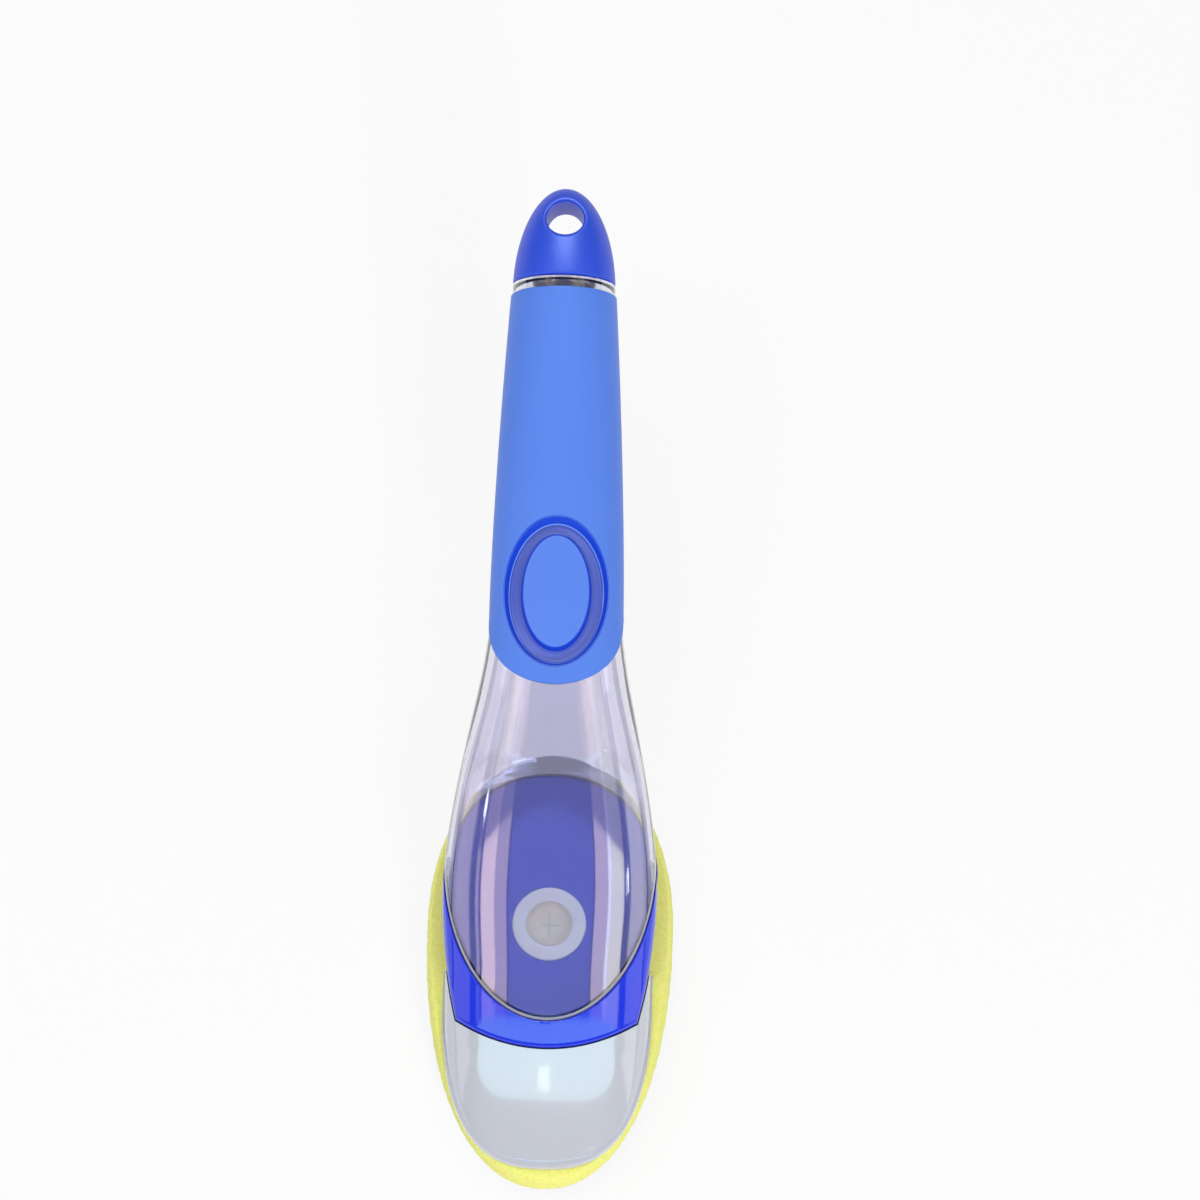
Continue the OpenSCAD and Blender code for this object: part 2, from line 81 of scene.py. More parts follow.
# Grip: height of its side edges over the axis, degrees to its round end, and its chart's stretch across
GRIP_SIDE_N, GRIP_EASE_DEG, CHART_STRETCH = 0.5, 12, 1.35
GRIP_EDGE_R = 0.45

# Head
HEAD_HALF_W, BASE_HALF_W = 29.9, 29.0
TOE_Y, TOE_START_Y, FULL_Y = 57.9, -10.0, 11.0
TOE_POWER, CROWN_POWER, SIDE_POWER, UPRIGHT_POWER, FLARE_POWER = 2.6, 2.2, 2.3, 8.0, 0.85
TOE_INSET, TOE_RIM_H = 0.7, 2.6
SHOE_FRONT_Y, SHOE_FRONT_R = 27.2, 44.0
SHOE_WIDE_Y, SHOE_TOE_L, SHOE_HEEL_L, SHOE_HEEL_POWER = 22.0, 74.0, 28.8, 2.05
PLATE_INSET, PLATE_HEEL_L = 1.2, 37.4
DOME_FRONT_Y, DOME_WIDE_Y, DOME_HALF_W, DOME_GAP = 20.2, 24.0, 29.3, 0.3
SHOE_WALL, DOME_RIM_WALL, HEAD_WALL, SILL_T = 2.0, 1.5, 1.6, 0.9
HEAD_END_S = 10
DOME_EDGE_R, SHOE_EDGE_R, LEDGE_EDGE_R, TOE_EDGE_R = 0.7, 1.1, 0.45, 0.35
TOE_HOLLOW_HALF_W, TOE_HOLLOW_FROM_Y, TOE_HOLLOW_TO_Y, TOE_HOLLOW_H = 14, -43, -30, 5.5

# Layers of the head, from the scrubbing face up
SCRUB_T, FOAM_T, PLATE_T, SLIDE_GAP = 5.0, 17.0, 2.5, 0.4
FOAM_TOP = SCRUB_T + FOAM_T
PLATE_TOP = FOAM_TOP + PLATE_T
SKIRT_LOW = PLATE_TOP + SLIDE_GAP
FLOOR_LOW = SKIRT_LOW + 3.3
FLOOR_TOP = FLOOR_LOW + 2.0
RIM_Z = FOAM_TOP + 1

# Valve and soap hole
VALVE_Y = 7.7
RING_R, RING_BORE_R, RING_PROUD, SEAT_DEPTH = 10.2, 6.3, 0.8, 1.2
FLANGE_R, FLANGE_T, NOZZLE_R, SLIT_L = 8.5, 1.3, 5.4, 6.0
BOSS_LOW, BOSS_R = FLOOR_LOW - 1.5, 9.6
SOAP_R, SOAP_WALL = 6.0, 1.6
VALVE_FIT = 0.05

# Rails that hold the refill
BASE_RAIL_X, RAIL_T, HOOK, HOOK_T = 12.6, 2.0, 2.5, 1.0
RAIL_HEEL_Y, RAIL_TOE_Y = 44.0, -14.0
HOOK_LOW = SKIRT_LOW + 0.7
SHOE_RAIL_X = BASE_RAIL_X + RAIL_T + HOOK + SLIDE_GAP

# Foam refill
FOAM_HALF_W, FOAM_L, FOAM_WIDE_Y, FOAM_TOE_POWER = 35.0, 124.0, 11.5, 2.2
FOAM_TOP_INSET = -1.8

# Where the handle's forms begin and end
FLARE_S = BUTTON_S - 4
TAPER_POWER, DEPTH_LOW_S, POWER_BLEND_L = 1.5, 20, 40
UPRIGHT_END_Y, WALL_THIN_Y, WALL_BLEND_L = 30, 46, 25
CAVITY_TOP_S = GRIP_TOP_S - 9

# Fineness of the meshes, and how far a tool goes past the face it cuts
OVAL_COUNT, TURN_COUNT, STATION_COUNT = 192, 128, 144
TOE_STATIONS, BODY_STATIONS, STATION_STEP = 44, 56, 1.25
PAD_RINGS = 24
PAST, BORE_UP, FORM_UP, CUT_UP, DOME_UP = 1, 9, 60, 90, 120

COS, SIN = math.cos(HEAD_ANGLE), math.sin(HEAD_ANGLE)
HEEL = np.array([0, HEEL_Y, HEEL_Z])
AXIS = np.array([0, COS, SIN])
NORMAL = np.array([0, -SIN, COS])
ACROSS = np.array([1.0, 0, 0])
FULL_S = (FULL_Y - HEEL_Y) / COS


# Plain maths
def clamp01(t):
    return max(0.0, min(1.0, t))


def smooth(t):
    c = clamp01(t)
    return c * c * (3 - 2 * c)


def mix(a, b, t):
    return a + (b - a) * t


def bow(t, power, root):
    return max(0.0, 1 - clamp01(t) ** power) ** (1 / root)


def curl(v, power):
    return math.copysign(abs(v) ** (2 / power), v)


def turns(n, start=0.0, end=360.0, closed=False):
    """n angles from start to end in degrees, as radians; the end is left out unless closed."""
    return [math.radians(start + (end - start) * i / (n - 1 if closed else n)) for i in range(n)]


# The wand's outer form
def axis_z(y):
    return HEEL_Z + (y - HEEL_Y) * math.tan(HEAD_ANGLE)


def toe_t(y):
    return (TOE_START_Y - y) / (TOE_START_Y + TOE_Y)


def grip_width(s):
    t = clamp01((GRIP_TOP_S - s) / (GRIP_TOP_S - FLARE_S))
    return mix(COLLAR_R, GRIP_HALF_W, 1 - (1 - t) ** TAPER_POWER)


def flare_width(s):
    t = clamp01((FLARE_S - s) / (FLARE_S - FULL_S))
    return mix(GRIP_HALF_W, HEAD_HALF_W, smooth(t**FLARE_POWER))


def handle_width(s):
    return grip_width(s) if s > FLARE_S else flare_width(s)


def head_width(y):
    if y > FULL_Y:
        return flare_width((y - HEEL_Y) / COS)
    if y > TOE_START_Y:
        return mix(HEAD_HALF_W, BASE_HALF_W, smooth((FULL_Y - y) / (FULL_Y - TOE_START_Y)))
    return BASE_HALF_W * bow(toe_t(y), TOE_POWER, TOE_POWER)


def half_depth(s):
    return mix(COLLAR_R, HANDLE_HALF_D, clamp01((GRIP_TOP_S - s) / (GRIP_TOP_S - DEPTH_LOW_S)))


def side_power(s):
    return mix(2, SIDE_POWER, clamp01((GRIP_TOP_S - s) / POWER_BLEND_L))


def head_top(y):
    top = axis_z(y) + HANDLE_HALF_D / COS
    return top if y > TOE_START_Y else mix(RIM_Z, top, bow(toe_t(y), TOE_POWER, CROWN_POWER))


def handle_station(s):
    """A station is y, z, tilt, half width, reach up, reach down, and the powers of its two halves."""
    y, z, depth, power = HEEL_Y + s * COS, HEEL_Z + s * SIN, half_depth(s), side_power(s)
    under = depth + HEEL_DROP * (1 - smooth(s / HEEL_DROP_END_S))
    return (y, z, HEAD_ANGLE, handle_width(s), depth, under, power, power)


def head_station(y):
    z = max(axis_z(y), RIM_Z)
    tilt = HEAD_ANGLE * clamp01((y - FULL_Y) / (HEEL_Y - FULL_Y))
    depth = HANDLE_HALF_D / math.cos(HEAD_ANGLE - tilt)
    low_power = mix(UPRIGHT_POWER, SIDE_POWER, smooth((y - UPRIGHT_END_Y) / (HEEL_Y - UPRIGHT_END_Y)))
    up = depth if y > FULL_Y else head_top(y) - z
    return (y, z, tilt, head_width(y), up, depth + HEEL_DROP, SIDE_POWER, low_power)


def stations(y_from, s_to):
    last_gap = 0.4
    toe = [mix(-TOE_Y, TOE_START_Y, 1 - math.cos(a)) for a in turns(TOE_STATIONS, 1.5, 90)]
    body = [mix(TOE_START_Y, HEEL_Y, i / BODY_STATIONS) for i in range(BODY_STATIONS)]
    steps = [i * STATION_STEP for i in range(int(s_to / STATION_STEP) + 1)]
    along = [s for s in steps if s < s_to - last_gap]
    return (
        [head_station(y) for y in toe + body if y >= y_from]
        + [handle_station(s) for s in along]
        + [handle_station(s_to)]
    )


def station_ring(station, d):
    y, z, tilt, half_w, up, under, up_power, low_power = station
    least = 0.4
    ring = []
    for a in turns(STATION_COUNT):
        above = math.sin(a) >= 0
        power = up_power if above else low_power
        x = max(least, half_w + d) * curl(math.cos(a), power)
        v = max(least, (up if above else under) + d) * curl(math.sin(a), power)
        ring.append((x, y - v * math.sin(tilt), z + v * math.cos(tilt)))
    return ring


def form_height(x, s, d):
    """Height over the axis of the handle's upper surface, grown by d, at x across and s along."""
    w, h, power = handle_width(s) + d, half_depth(s) + d, side_power(s)
    return h * max(0.0, 1 - (abs(x) / w) ** power) ** (1 / power)


def on_axis(x, n, s):
    return tuple(HEEL + ACROSS * x + NORMAL * n + AXIS * s)


def on_form(x, s, d, drop=0.0):
    return on_axis(x, form_height(x, s, d) - drop, s)


def form_top(x, y):
    """Height of the head's upper surface over a place in plan."""
    y_station = y
    for _ in range(8):
        _, z, tilt, half_w, up, _, power, _ = head_station(y_station)
        v = up * max(0.0, 1 - min(1.0, abs(x) / half_w) ** power) ** (1 / power)
        y_station = y + v * math.sin(tilt)
    return z + v * math.cos(tilt)


# Plan outlines of the head, grown by d
def ellipse(half_w, half_l, centre_y, angles):
    return [(half_w * math.cos(a), centre_y + half_l * math.sin(a)) for a in angles]


def dome_outline(d):
    """Oval front of the dome. Behind its widest place the outline leaves the head and cuts nothing."""
    arc = turns(121, 180, 360, closed=True)
    front = ellipse(DOME_HALF_W + d, DOME_FRONT_Y + DOME_WIDE_Y + d, DOME_WIDE_Y, arc)
    side, low, back = HEAD_HALF_W + 3 + d, DOME_WIDE_Y + 4, 300
    return front + [(side, low), (side, back), (-side, back), (-side, low)]


def shoe_half(y):
    if y < SHOE_WIDE_Y:
        return HEAD_HALF_W * bow((SHOE_WIDE_Y - y) / SHOE_TOE_L, 2, 2)
    return HEAD_HALF_W * bow((y - SHOE_WIDE_Y) / SHOE_HEEL_L, SHOE_HEEL_POWER, SHOE_HEEL_POWER)


def front_arc_y(x):
    return SHOE_FRONT_R - SHOE_FRONT_Y - math.sqrt(SHOE_FRONT_R**2 - x**2)


def arc_end_x():
    lo, hi = 5.0, HEAD_HALF_W
    for _ in range(40):
        mid = (lo + hi) / 2
        lo, hi = (mid, hi) if shoe_half(front_arc_y(mid)) > mid else (lo, mid)
    return lo


CORNER_X = arc_end_x()
CORNER_Y = front_arc_y(CORNER_X)


def shoe_outline(d=0.0):
    rows, half_front = 48, 40
    along = [mix(CORNER_Y, SHOE_WIDE_Y, i / rows) for i in range(rows + 1)]
    along += [SHOE_WIDE_Y + SHOE_HEEL_L * math.sin(a) for a in turns(rows, 90 / rows, 90, closed=True)]
    side = [(shoe_half(y), y) for y in along]
    across = [CORNER_X * i / half_front for i in range(-half_front, half_front + 1)]
    points = [(x, front_arc_y(x)) for x in across]
    points += side[1:] + [(-x, y) for x, y in side[-2:0:-1]]
    centre = np.array([0.0, 14.0])
    pulled = []
    for p in points:
        arm = np.array(p) - centre
        reach = np.linalg.norm(arm)
        pulled.append(tuple(centre + arm * (reach + d) / reach))
    return pulled


def plate_heel():
    return ellipse(HEAD_HALF_W - PLATE_INSET, PLATE_HEEL_L, SHOE_WIDE_Y, turns(81, 0, 180, closed=True))


def foam_outline(d, count=320):
    points = []
    for a in turns(count):
        heel = math.sin(a) > 0
        reach = FOAM_L / 2 + (-FOAM_WIDE_Y if heel else FOAM_WIDE_Y) + d
        power = 2 if heel else FOAM_TOE_POWER
        x, y = curl(math.cos(a), power), curl(math.sin(a), power)
        points.append(((FOAM_HALF_W + d) * x, FOAM_WIDE_Y + reach * y))
    return points


# Mesh helpers
def linked(name, data):
    obj = bpy.data.objects.new(name, data)
    bpy.context.scene.collection.objects.link(obj)
    return obj


def new_object(name, points, faces):
    mesh = bpy.data.meshes.new(name)
    mesh.from_pydata([tuple(c * MM for c in p) for p in points], [], faces)
    return linked(name, mesh)


def polar(radius, a):
    return radius * math.cos(a), radius * math.sin(a)


def face_outwards(obj):
    mesh = obj.data
    mesh.calc_loop_triangles()
    co = np.array([v.co for v in mesh.vertices])
    tri = np.array([t.vertices for t in mesh.loop_triangles])
    a, b, c = co[tri[:, 0]], co[tri[:, 1]], co[tri[:, 2]]
    if np.einsum("ij,ij->i", a, np.cross(b, c)).sum() < 0:
        mesh.flip_normals()
    return obj


def loft(name, rings, first_tip=None, last_tip=None, hoop=False):
    """Closed skin through rings of equal length. A tip closes an end with a fan. A hoop joins its ends."""
    count, rows = len(rings[0]), len(rings)
    points = [p for ring in rings for p in ring]
    faces = []
    for r in range(rows if hoop else rows - 1):
        a, b = r * count, (r + 1) % rows * count
        faces += [(a + i, a + (i + 1) % count, b + (i + 1) % count, b + i) for i in range(count)]
    if not hoop:
        last = (rows - 1) * count
        for start, tip, flip in ((0, first_tip, True), (last, last_tip, False)):
            loop = [start + i for i in range(count)]
            if tip is None:
                faces.append(tuple(reversed(loop)) if flip else tuple(loop))
                continue
            points.append(tip)
            hub = len(points) - 1
            for i in range(count):
                here, after = loop[i], loop[(i + 1) % count]
                faces.append((after, here, hub) if flip else (here, after, hub))
    return face_outwards(new_object(name, points, faces))


def prism(outline, z_low, z_high):
    return loft("tool", [[(x, y, z) for x, y in outline] for z in (z_low, z_high)])


def box(low, high):
    (x0, y0, z0), (x1, y1, z1) = low, high
    return prism([(x0, y0), (x1, y0), (x1, y1), (x0, y1)], z0, z1)


def turned(profile, place, count=TURN_COUNT):
    """Rings of a profile of (radius, height) round an axis; place gives the point for (x, y, height)."""
    return [[place(*polar(r, a), h) for a in turns(count)] for r, h in profile]


def lathe(name, profile, place):
    return loft(name, turned(profile, place), hoop=True)


def rod(radius, low, high, place):
    return loft("tool", turned([(radius, low), (radius, high)], place))


def boolean(obj, tool, operation):
    step = obj.modifiers.new("step", "BOOLEAN")
    step.operation, step.solver, step.object = operation, "MANIFOLD", tool
    bpy.context.view_layer.update()
    evaluated = obj.evaluated_get(bpy.context.evaluated_depsgraph_get())
    result = bpy.data.meshes.new_from_object(evaluated)
    if not result.polygons:
        raise RuntimeError(f"{obj.name}: {operation} left nothing")
    obj.modifiers.clear()
    obj.data = result
    bpy.data.objects.remove(tool)
    return obj


def minus(obj, *tools):
    for tool in tools:
        boolean(obj, tool, "DIFFERENCE")
    return obj


def plus(obj, *tools):
    for tool in tools:
        boolean(obj, tool, "UNION")
    return obj


def within(obj, tool):
    return boolean(obj, tool, "INTERSECT")


def paint(obj, extra, chosen):
    """Give the faces that chosen picks the extra material."""
    obj.data.materials.append(extra)
    for polygon in obj.data.polygons:
        polygon.material_index = int(chosen(polygon))


def corners(obj, polygon):
    return [obj.data.vertices[i].co / MM for i in polygon.vertices]


def finish_piece(obj, name, body, material, nodes, sharp=35):
    obj.name = name
    obj.data.name = name
    obj.data.materials.clear()
    obj.data.materials.append(material)
    obj.data.shade_smooth()
    obj.data.set_sharp_from_angle(angle=math.radians(sharp))
    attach(obj, body)
    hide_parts(*nodes)
    return obj


def wand_form(d, y_from, s_to=COLLAR_TOP_S):
    """The outer form grown by d, which is a number or a function of a station's y."""
    grow = d if callable(d) else lambda y: d
    return loft("form", [station_ring(station, grow(station[0])) for station in stations(y_from, s_to)])


def valve_place(x, y, z):
    return (x, VALVE_Y + y, z)


# Materials
def material(name):
    mat = bpy.data.materials.new(name)
    mat.use_nodes = True
    nodes, links = mat.node_tree.nodes, mat.node_tree.links
    return mat, nodes, links, nodes["Principled BSDF"]


def put(node, **values):
    """Set a node's inputs, which are named with an underscore for each space."""
    for name, value in values.items():
        node.inputs[name.replace("_", " ")].default_value = value
    return node


def texture(nodes, links, kind, scale, detail=2.0):
    node = put(nodes.new(kind), Scale=scale, Detail=detail)
    links.new(nodes.new("ShaderNodeTexCoord").outputs["Object"], node.inputs["Vector"])
    return node


def spread(nodes, links, factor, low, high, target):
    """Feed a target with low to high as the factor goes from 0 to 1."""
    node = put(nodes.new("ShaderNodeMapRange"), To_Min=low, To_Max=high)
    links.new(factor, node.inputs["Value"])
    links.new(node.outputs["Result"], target)
    return node


def combine(nodes, links, operation, first, second, clamp=False):
    node = nodes.new("ShaderNodeMath")
    node.operation, node.use_clamp = operation, clamp
    links.new(first, node.inputs[0])
    links.new(second, node.inputs[1])
    return node.outputs[0]


def emboss(nodes, links, height, strength, distance, shader):
    node = put(nodes.new("ShaderNodeBump"), Strength=strength, Distance=distance)
    links.new(height, node.inputs["Height"])
    links.new(node.outputs["Normal"], shader.inputs["Normal"])


def choose_shader(nodes, links, factor, at_zero, at_one, output):
    node = nodes.new("ShaderNodeMixShader")
    for source, socket in zip((factor, at_zero.outputs[0], at_one.outputs[0]), node.inputs):
        links.new(source, socket)
    links.new(node.outputs[0], nodes[output].inputs["Surface"])


def plastic(name, low, high, rough, grain, bump, specular=0.5, **gloss):
    """Moulded plastic or rubber: colour drifts between low and high, roughness between the two of rough,
    and grain is the texture's scale per metre, raised by bump. The gloss is more of the shader's inputs."""
    mat, nodes, links, shader = material(name)
    drift = texture(nodes, links, "ShaderNodeTexNoise", 28, 3)
    colour = nodes.new("ShaderNodeMix")
    colour.data_type = "RGBA"
    colour.inputs[6].default_value, colour.inputs[7].default_value = (*low, 1), (*high, 1)
    links.new(drift.outputs["Fac"], colour.inputs[0])
    links.new(colour.outputs[2], shader.inputs["Base Color"])
    fine = texture(nodes, links, "ShaderNodeTexNoise", grain, 4)
    spread(nodes, links, fine.outputs["Fac"], *rough, shader.inputs["Roughness"])
    emboss(nodes, links, fine.outputs["Fac"], bump, 0.0002, shader)
    put(shader, Coat_Roughness=0.04, Specular_IOR_Level=specular, Subsurface_Scale=0.003, **gloss)
    return mat


def clear_plastic(name, tint, rough, haze=0.0):
    """Clear moulded plastic that lets lamps through; haze makes it milky."""
    mat, nodes, links, shader = material(name)
    put(shader, Base_Color=(*tint, 1), Transmission_Weight=1 - haze, IOR=1.49)
    put(shader, Coat_Weight=1, Coat_IOR=1.7, Coat_Roughness=0.05)
    flow = texture(nodes, links, "ShaderNodeTexNoise", 60)
    spread(nodes, links, flow.outputs["Fac"], *rough, shader.inputs["Roughness"])
    through = put(nodes.new("ShaderNodeBsdfTransparent"), Color=(*CLEAR_SHADE, 1))
    in_shadow = nodes.new("ShaderNodeLightPath").outputs["Is Shadow Ray"]
    choose_shader(nodes, links, in_shadow, shader, through, "Material Output")
    return mat


def foam_material(name, low, high, pore_scale, bump):
    mat, nodes, links, shader = material(name)
    pores = texture(nodes, links, "ShaderNodeTexVoronoi", pore_scale, 0.0)
    cloud = texture(nodes, links, "ShaderNodeTexNoise", pore_scale * 0.45, 6)
    depth = combine(nodes, links, "MULTIPLY", pores.outputs["Distance"], cloud.outputs["Fac"])
    ramp = nodes.new("ShaderNodeValToRGB")
    for end, place, colour in zip(ramp.color_ramp.elements, (0.06, 0.32), (low, high)):
        end.position, end.color = place, (*colour, 1)
    links.new(depth, ramp.inputs["Fac"])
    links.new(ramp.outputs["Color"], shader.inputs["Base Color"])
    emboss(nodes, links, depth, bump, 0.0006, shader)
    put(shader, Roughness=0.95, Specular_IOR_Level=0.15, Subsurface_Weight=0.25, Subsurface_Scale=0.004)
    return mat


# How much light the clear wall lets through to what lies behind it
CLEAR_SHADE = (0.74, 0.74, 0.75)
CLEAR = clear_plastic("clear_plastic", (0.73, 0.72, 0.83), (0.015, 0.05))
CLEAR_EDGE = clear_plastic("clear_edge", (0.7, 0.71, 0.77), (0.4, 0.5), haze=0.5)
GRIP = plastic("soft_grip", (0.076, 0.212, 0.78), (0.09, 0.23, 0.84), (0.48, 0.6), 900, 0.35,
               specular=0.35, Sheen_Weight=0.1)
BEZEL = plastic("bezel_blue", (0.008, 0.06, 0.66), (0.011, 0.072, 0.74), (0.3, 0.42), 700, 0.1,
                specular=0.25)
# Painted shade: the groove's skin is a darker, greyer blue than the grip, for the shade that falls in the
# groove
SKIN_SHADED = plastic("soft_skin", (0.1, 0.15, 0.56), (0.115, 0.17, 0.62), (0.42, 0.55), 900, 0.25,
               Sheen_Weight=0.12)
BUTTON = plastic("soft_button", (0.086, 0.217, 0.79), (0.1, 0.236, 0.85), (0.4, 0.52), 900, 0.25,
                 specular=0.35, Sheen_Weight=0.1)
# Painted highlight: a paler blue on the ring wall's two beads, for the light their edges catch
BEAD_HIGHLIGHT = plastic("bead_painted_highlight", (0.13, 0.27, 0.86), (0.16, 0.3, 0.9), (0.3, 0.4), 700, 0.1)
CAP = plastic("cap_blue", (0.009, 0.062, 0.7), (0.012, 0.075, 0.76), (0.38, 0.47), 800, 0.15,
              specular=0.55)
SHOE = plastic("shoe_blue", (0.01, 0.034, 0.72), (0.013, 0.04, 0.78), (0.06, 0.12), 500, 0.03,
               Coat_Weight=0.3)
# Painted shade: a darker blue for the shoe's floor under the dome, though it is one moulding with the shoe
SHOE_FLOOR_SHADE = plastic("shoe_floor_painted_shade", (0.006, 0.022, 0.47), (0.008, 0.026, 0.52), (0.06, 0.12), 500, 0.03,
                    Coat_Weight=0.3)
WHITE = plastic("gloss_white", (0.55, 0.57, 0.63), (0.57, 0.59, 0.65), (0.1, 0.16), 500, 0.03,
                Coat_Weight=1.0, Subsurface_Weight=0.1)
MILKY = plastic("milky_plastic", (0.93, 0.88, 0.74), (0.96, 0.91, 0.77), (0.2, 0.3), 600, 0.05,
                Subsurface_Weight=0.3)
VALVE = plastic("valve_silicone", (0.9, 0.75, 0.42), (0.94, 0.79, 0.47), (0.35, 0.5), 800, 0.1,
                Subsurface_Weight=0.3)
# Dark silicone gasket; its near-black also stands in for the shade seen through the clear collar
SEAL_AND_SHADE = plastic("silicone", (0.05, 0.052, 0.06), (0.07, 0.072, 0.08), (0.4, 0.5), 700, 0.1)
FOAM = foam_material("foam", (0.88, 0.87, 0.2), (0.96, 0.95, 0.27), 1500, 0.35)
SCRUB = foam_material("scrub_fibre", (0.02, 0.07, 0.28), (0.06, 0.2, 0.55), 520, 1.0)


# Button group and grip
def between(a, b, t):
    return tuple(mix(u, v, t) for u, v in zip(a, b))


def grown(oval, grow):
    return (oval[0] + grow, oval[1] + grow, oval[2])


def scaled(oval, share):
    return (oval[0] * share, oval[1] * share, oval[2])


def oval_ring(oval, d, drop=0.0, height=None):
    """Ring on the handle over an oval, at offset d from the form or at a height of its own."""
    half_w, half_l, shift = oval
    ring = ellipse(half_w, half_l, BUTTON_S + shift, turns(OVAL_COUNT))
    return [on_axis(x, height(x, s), s) if height else on_form(x, s, d, drop) for x, s in ring]


def arc_profile(centre, radius, start, end, steps=6):
    arc = [polar(radius, a) for a in turns(steps, start, end, closed=True)]
    return [(centre[0] + u, centre[1] + v) for u, v in arc]


def make_button():
    """Lightly dished oval pad with a rounded rim and a side that leans out to its foot.
    It comes with the rows of its mesh that are its side."""
    low = -GROOVE_DEPTH + PAD_FOOT_GAP
    dish_low = half_depth(BUTTON_S) - DISH_DEPTH

    def top(x, s):
        crown = form_height(x, s, -BUTTON_SUNK)
        dish = dish_low + (x * x + (s - BUTTON_S - PAD_TOP[2]) ** 2) / (2 * DISH_R)
        gap = (dish - crown) / DISH_BLEND
        return crown - DISH_BLEND * math.log1p(math.exp(-gap)) if gap > -30 else dish

    flat = grown(PAD_TOP, -PAD_RIM)
    rings = [oval_ring(scaled(flat, k / PAD_RINGS), 0, height=top) for k in range(1, PAD_RINGS)]
    for a in turns(8, 90, 12, closed=True):
        fall = PAD_RIM * (1 - math.sin(a))
        oval = grown(PAD_TOP, PAD_RIM * (math.cos(a) - 1))
        rings.append(oval_ring(oval, 0, height=lambda x, s, f=fall: top(x, s) - f))
    rings += [oval_ring(between(PAD_TOP, PAD_FOOT, t), mix(-1.25, low + 0.2, t)) for t in (0.3, 0.65, 1)]
    side_rows = range(PAD_RINGS, len(rings) + 1)
    rings.append(oval_ring(grown(PAD_FOOT, -0.3), low))
    rings += [oval_ring(scaled(PAD_FOOT, k / 6), low) for k in range(5, 0, -1)]
    centre_s = BUTTON_S + PAD_TOP[2]
    top_tip = on_axis(0, top(0, centre_s), centre_s)
    return loft("button", rings, top_tip, on_form(0, BUTTON_S + PAD_FOOT[2], low)), side_rows


def make_skin_floor():
    """Floor of the groove, which goes down with the button, curved up to both walls."""
    low, r = -GROOVE_DEPTH, 0.9
    inner, outer = grown(PAD_FOOT, -0.5), grown(GROOVE_OVAL, -0.04)
    rings = [oval_ring(inner, low - SKIN_T), oval_ring(inner, low + 0.55)]
    for a in turns(6, 200, 270, closed=True):
        rings.append(oval_ring(grown(PAD_FOOT, r * (1 + math.cos(a))), low + r * (1 + math.sin(a))))
    for a in turns(7, 270, 354, closed=True):
        rings.append(oval_ring(grown(outer, r * (math.cos(a) - 1)), low + r * (1 + math.sin(a))))
    rings.append(oval_ring(outer, low - SKIN_T))
    return loft("skin_floor", rings, hoop=True)


def make_skin_wall():
    """Clamped rim under the ring wall, with a sleeve that the floor slides down in."""
    sleeve, wall = BUTTON_TRAVEL + 1.4, 0.8
    top, low = -GRIP_INLAY - 0.62, -GRIP_INLAY - 0.85
    rim = grown(RING_OVAL, -0.25)
    sleeve_out = grown(GROOVE_OVAL, wall)
    rings = [oval_ring(oval, d, drop) for oval, d, drop in (
        (GROOVE_OVAL, top, 0), (rim, top, 0), (rim, low, 0), (sleeve_out, low, 0),
        (sleeve_out, low, sleeve), (GROOVE_OVAL, low, sleeve), (GROOVE_OVAL, low, 0),
    )]
    return loft("skin_wall", rings, hoop=True)


# Rows of the ring wall's mesh that its two beads take up, counted from its outer foot
BEAD_ROWS = (1, 2, 3, 4, 11, 12, 13)


def make_bezel():
    """Ring wall that slopes from the grip down to the groove, with a fine bead at either edge."""
    top, low, r = GRIP_PROUD - 0.04, -GRIP_INLAY - 0.6, 0.16
    rings = [oval_ring(RING_OVAL, low), oval_ring(RING_OVAL, top - r)]
    for g, d in arc_profile((-r, top - r), r, 0, 100, 5):
        rings.append(oval_ring(grown(RING_OVAL, g), d))
    slope = ((0.2, top - 0.1), (0.3, top - 0.32), (0.5, top - 0.85), (0.7, top - 1.35), (0.82, low + 0.52))
    foot = ((0.9, low + 0.42), (0.97, low + 0.36), (1.0, low + 0.2), (1.0, low))
    rings += [oval_ring(between(RING_OVAL, GROOVE_OVAL, t), d) for t, d in slope + foot]
    return loft("bezel", rings, hoop=True)


GRIP_ROUND_S = GRIP_LOW_S + GRIP_HALF_W


def grip_edge(inset):
    """Boundary of the grip as (angle across, s): side edges, square top and round lower end."""
    side_steps, top_steps, low_steps = 70, 60, 64
    rise = abs(max(0.05, GRIP_SIDE_N - inset) / HANDLE_HALF_D)
    side = -math.degrees(math.asin(rise ** (SIDE_POWER / 2)))
    top = GRIP_TOP_S - inset

    def eased(a):
        """Lead the ends of the round end into the side edges."""
        if a < 90:
            return a + side * (1 - smooth(a / GRIP_EASE_DEG))
        return a - side * (1 - smooth((180 - a) / GRIP_EASE_DEG))

    right = [(side, mix(GRIP_ROUND_S, top, i / side_steps)) for i in range(side_steps)]
    across = [(mix(side, 180 - side, i / top_steps), top) for i in range(top_steps)]
    left = [(180 - side, mix(top, GRIP_ROUND_S, i / side_steps)) for i in range(side_steps)]
    low = []
    for phi in turns(low_steps, 0, 180)[1:]:
        s = GRIP_ROUND_S - (GRIP_HALF_W - inset) * math.sin(phi)
        share = math.cos(phi) * (GRIP_HALF_W + GRIP_PROUD - inset) / (GRIP_HALF_W + GRIP_PROUD)
        a = math.degrees(math.acos(math.copysign(abs(share) ** (side_power(s) / 2), share)))
        low.append((eased(180 - a), s))
    return right + across + left + low


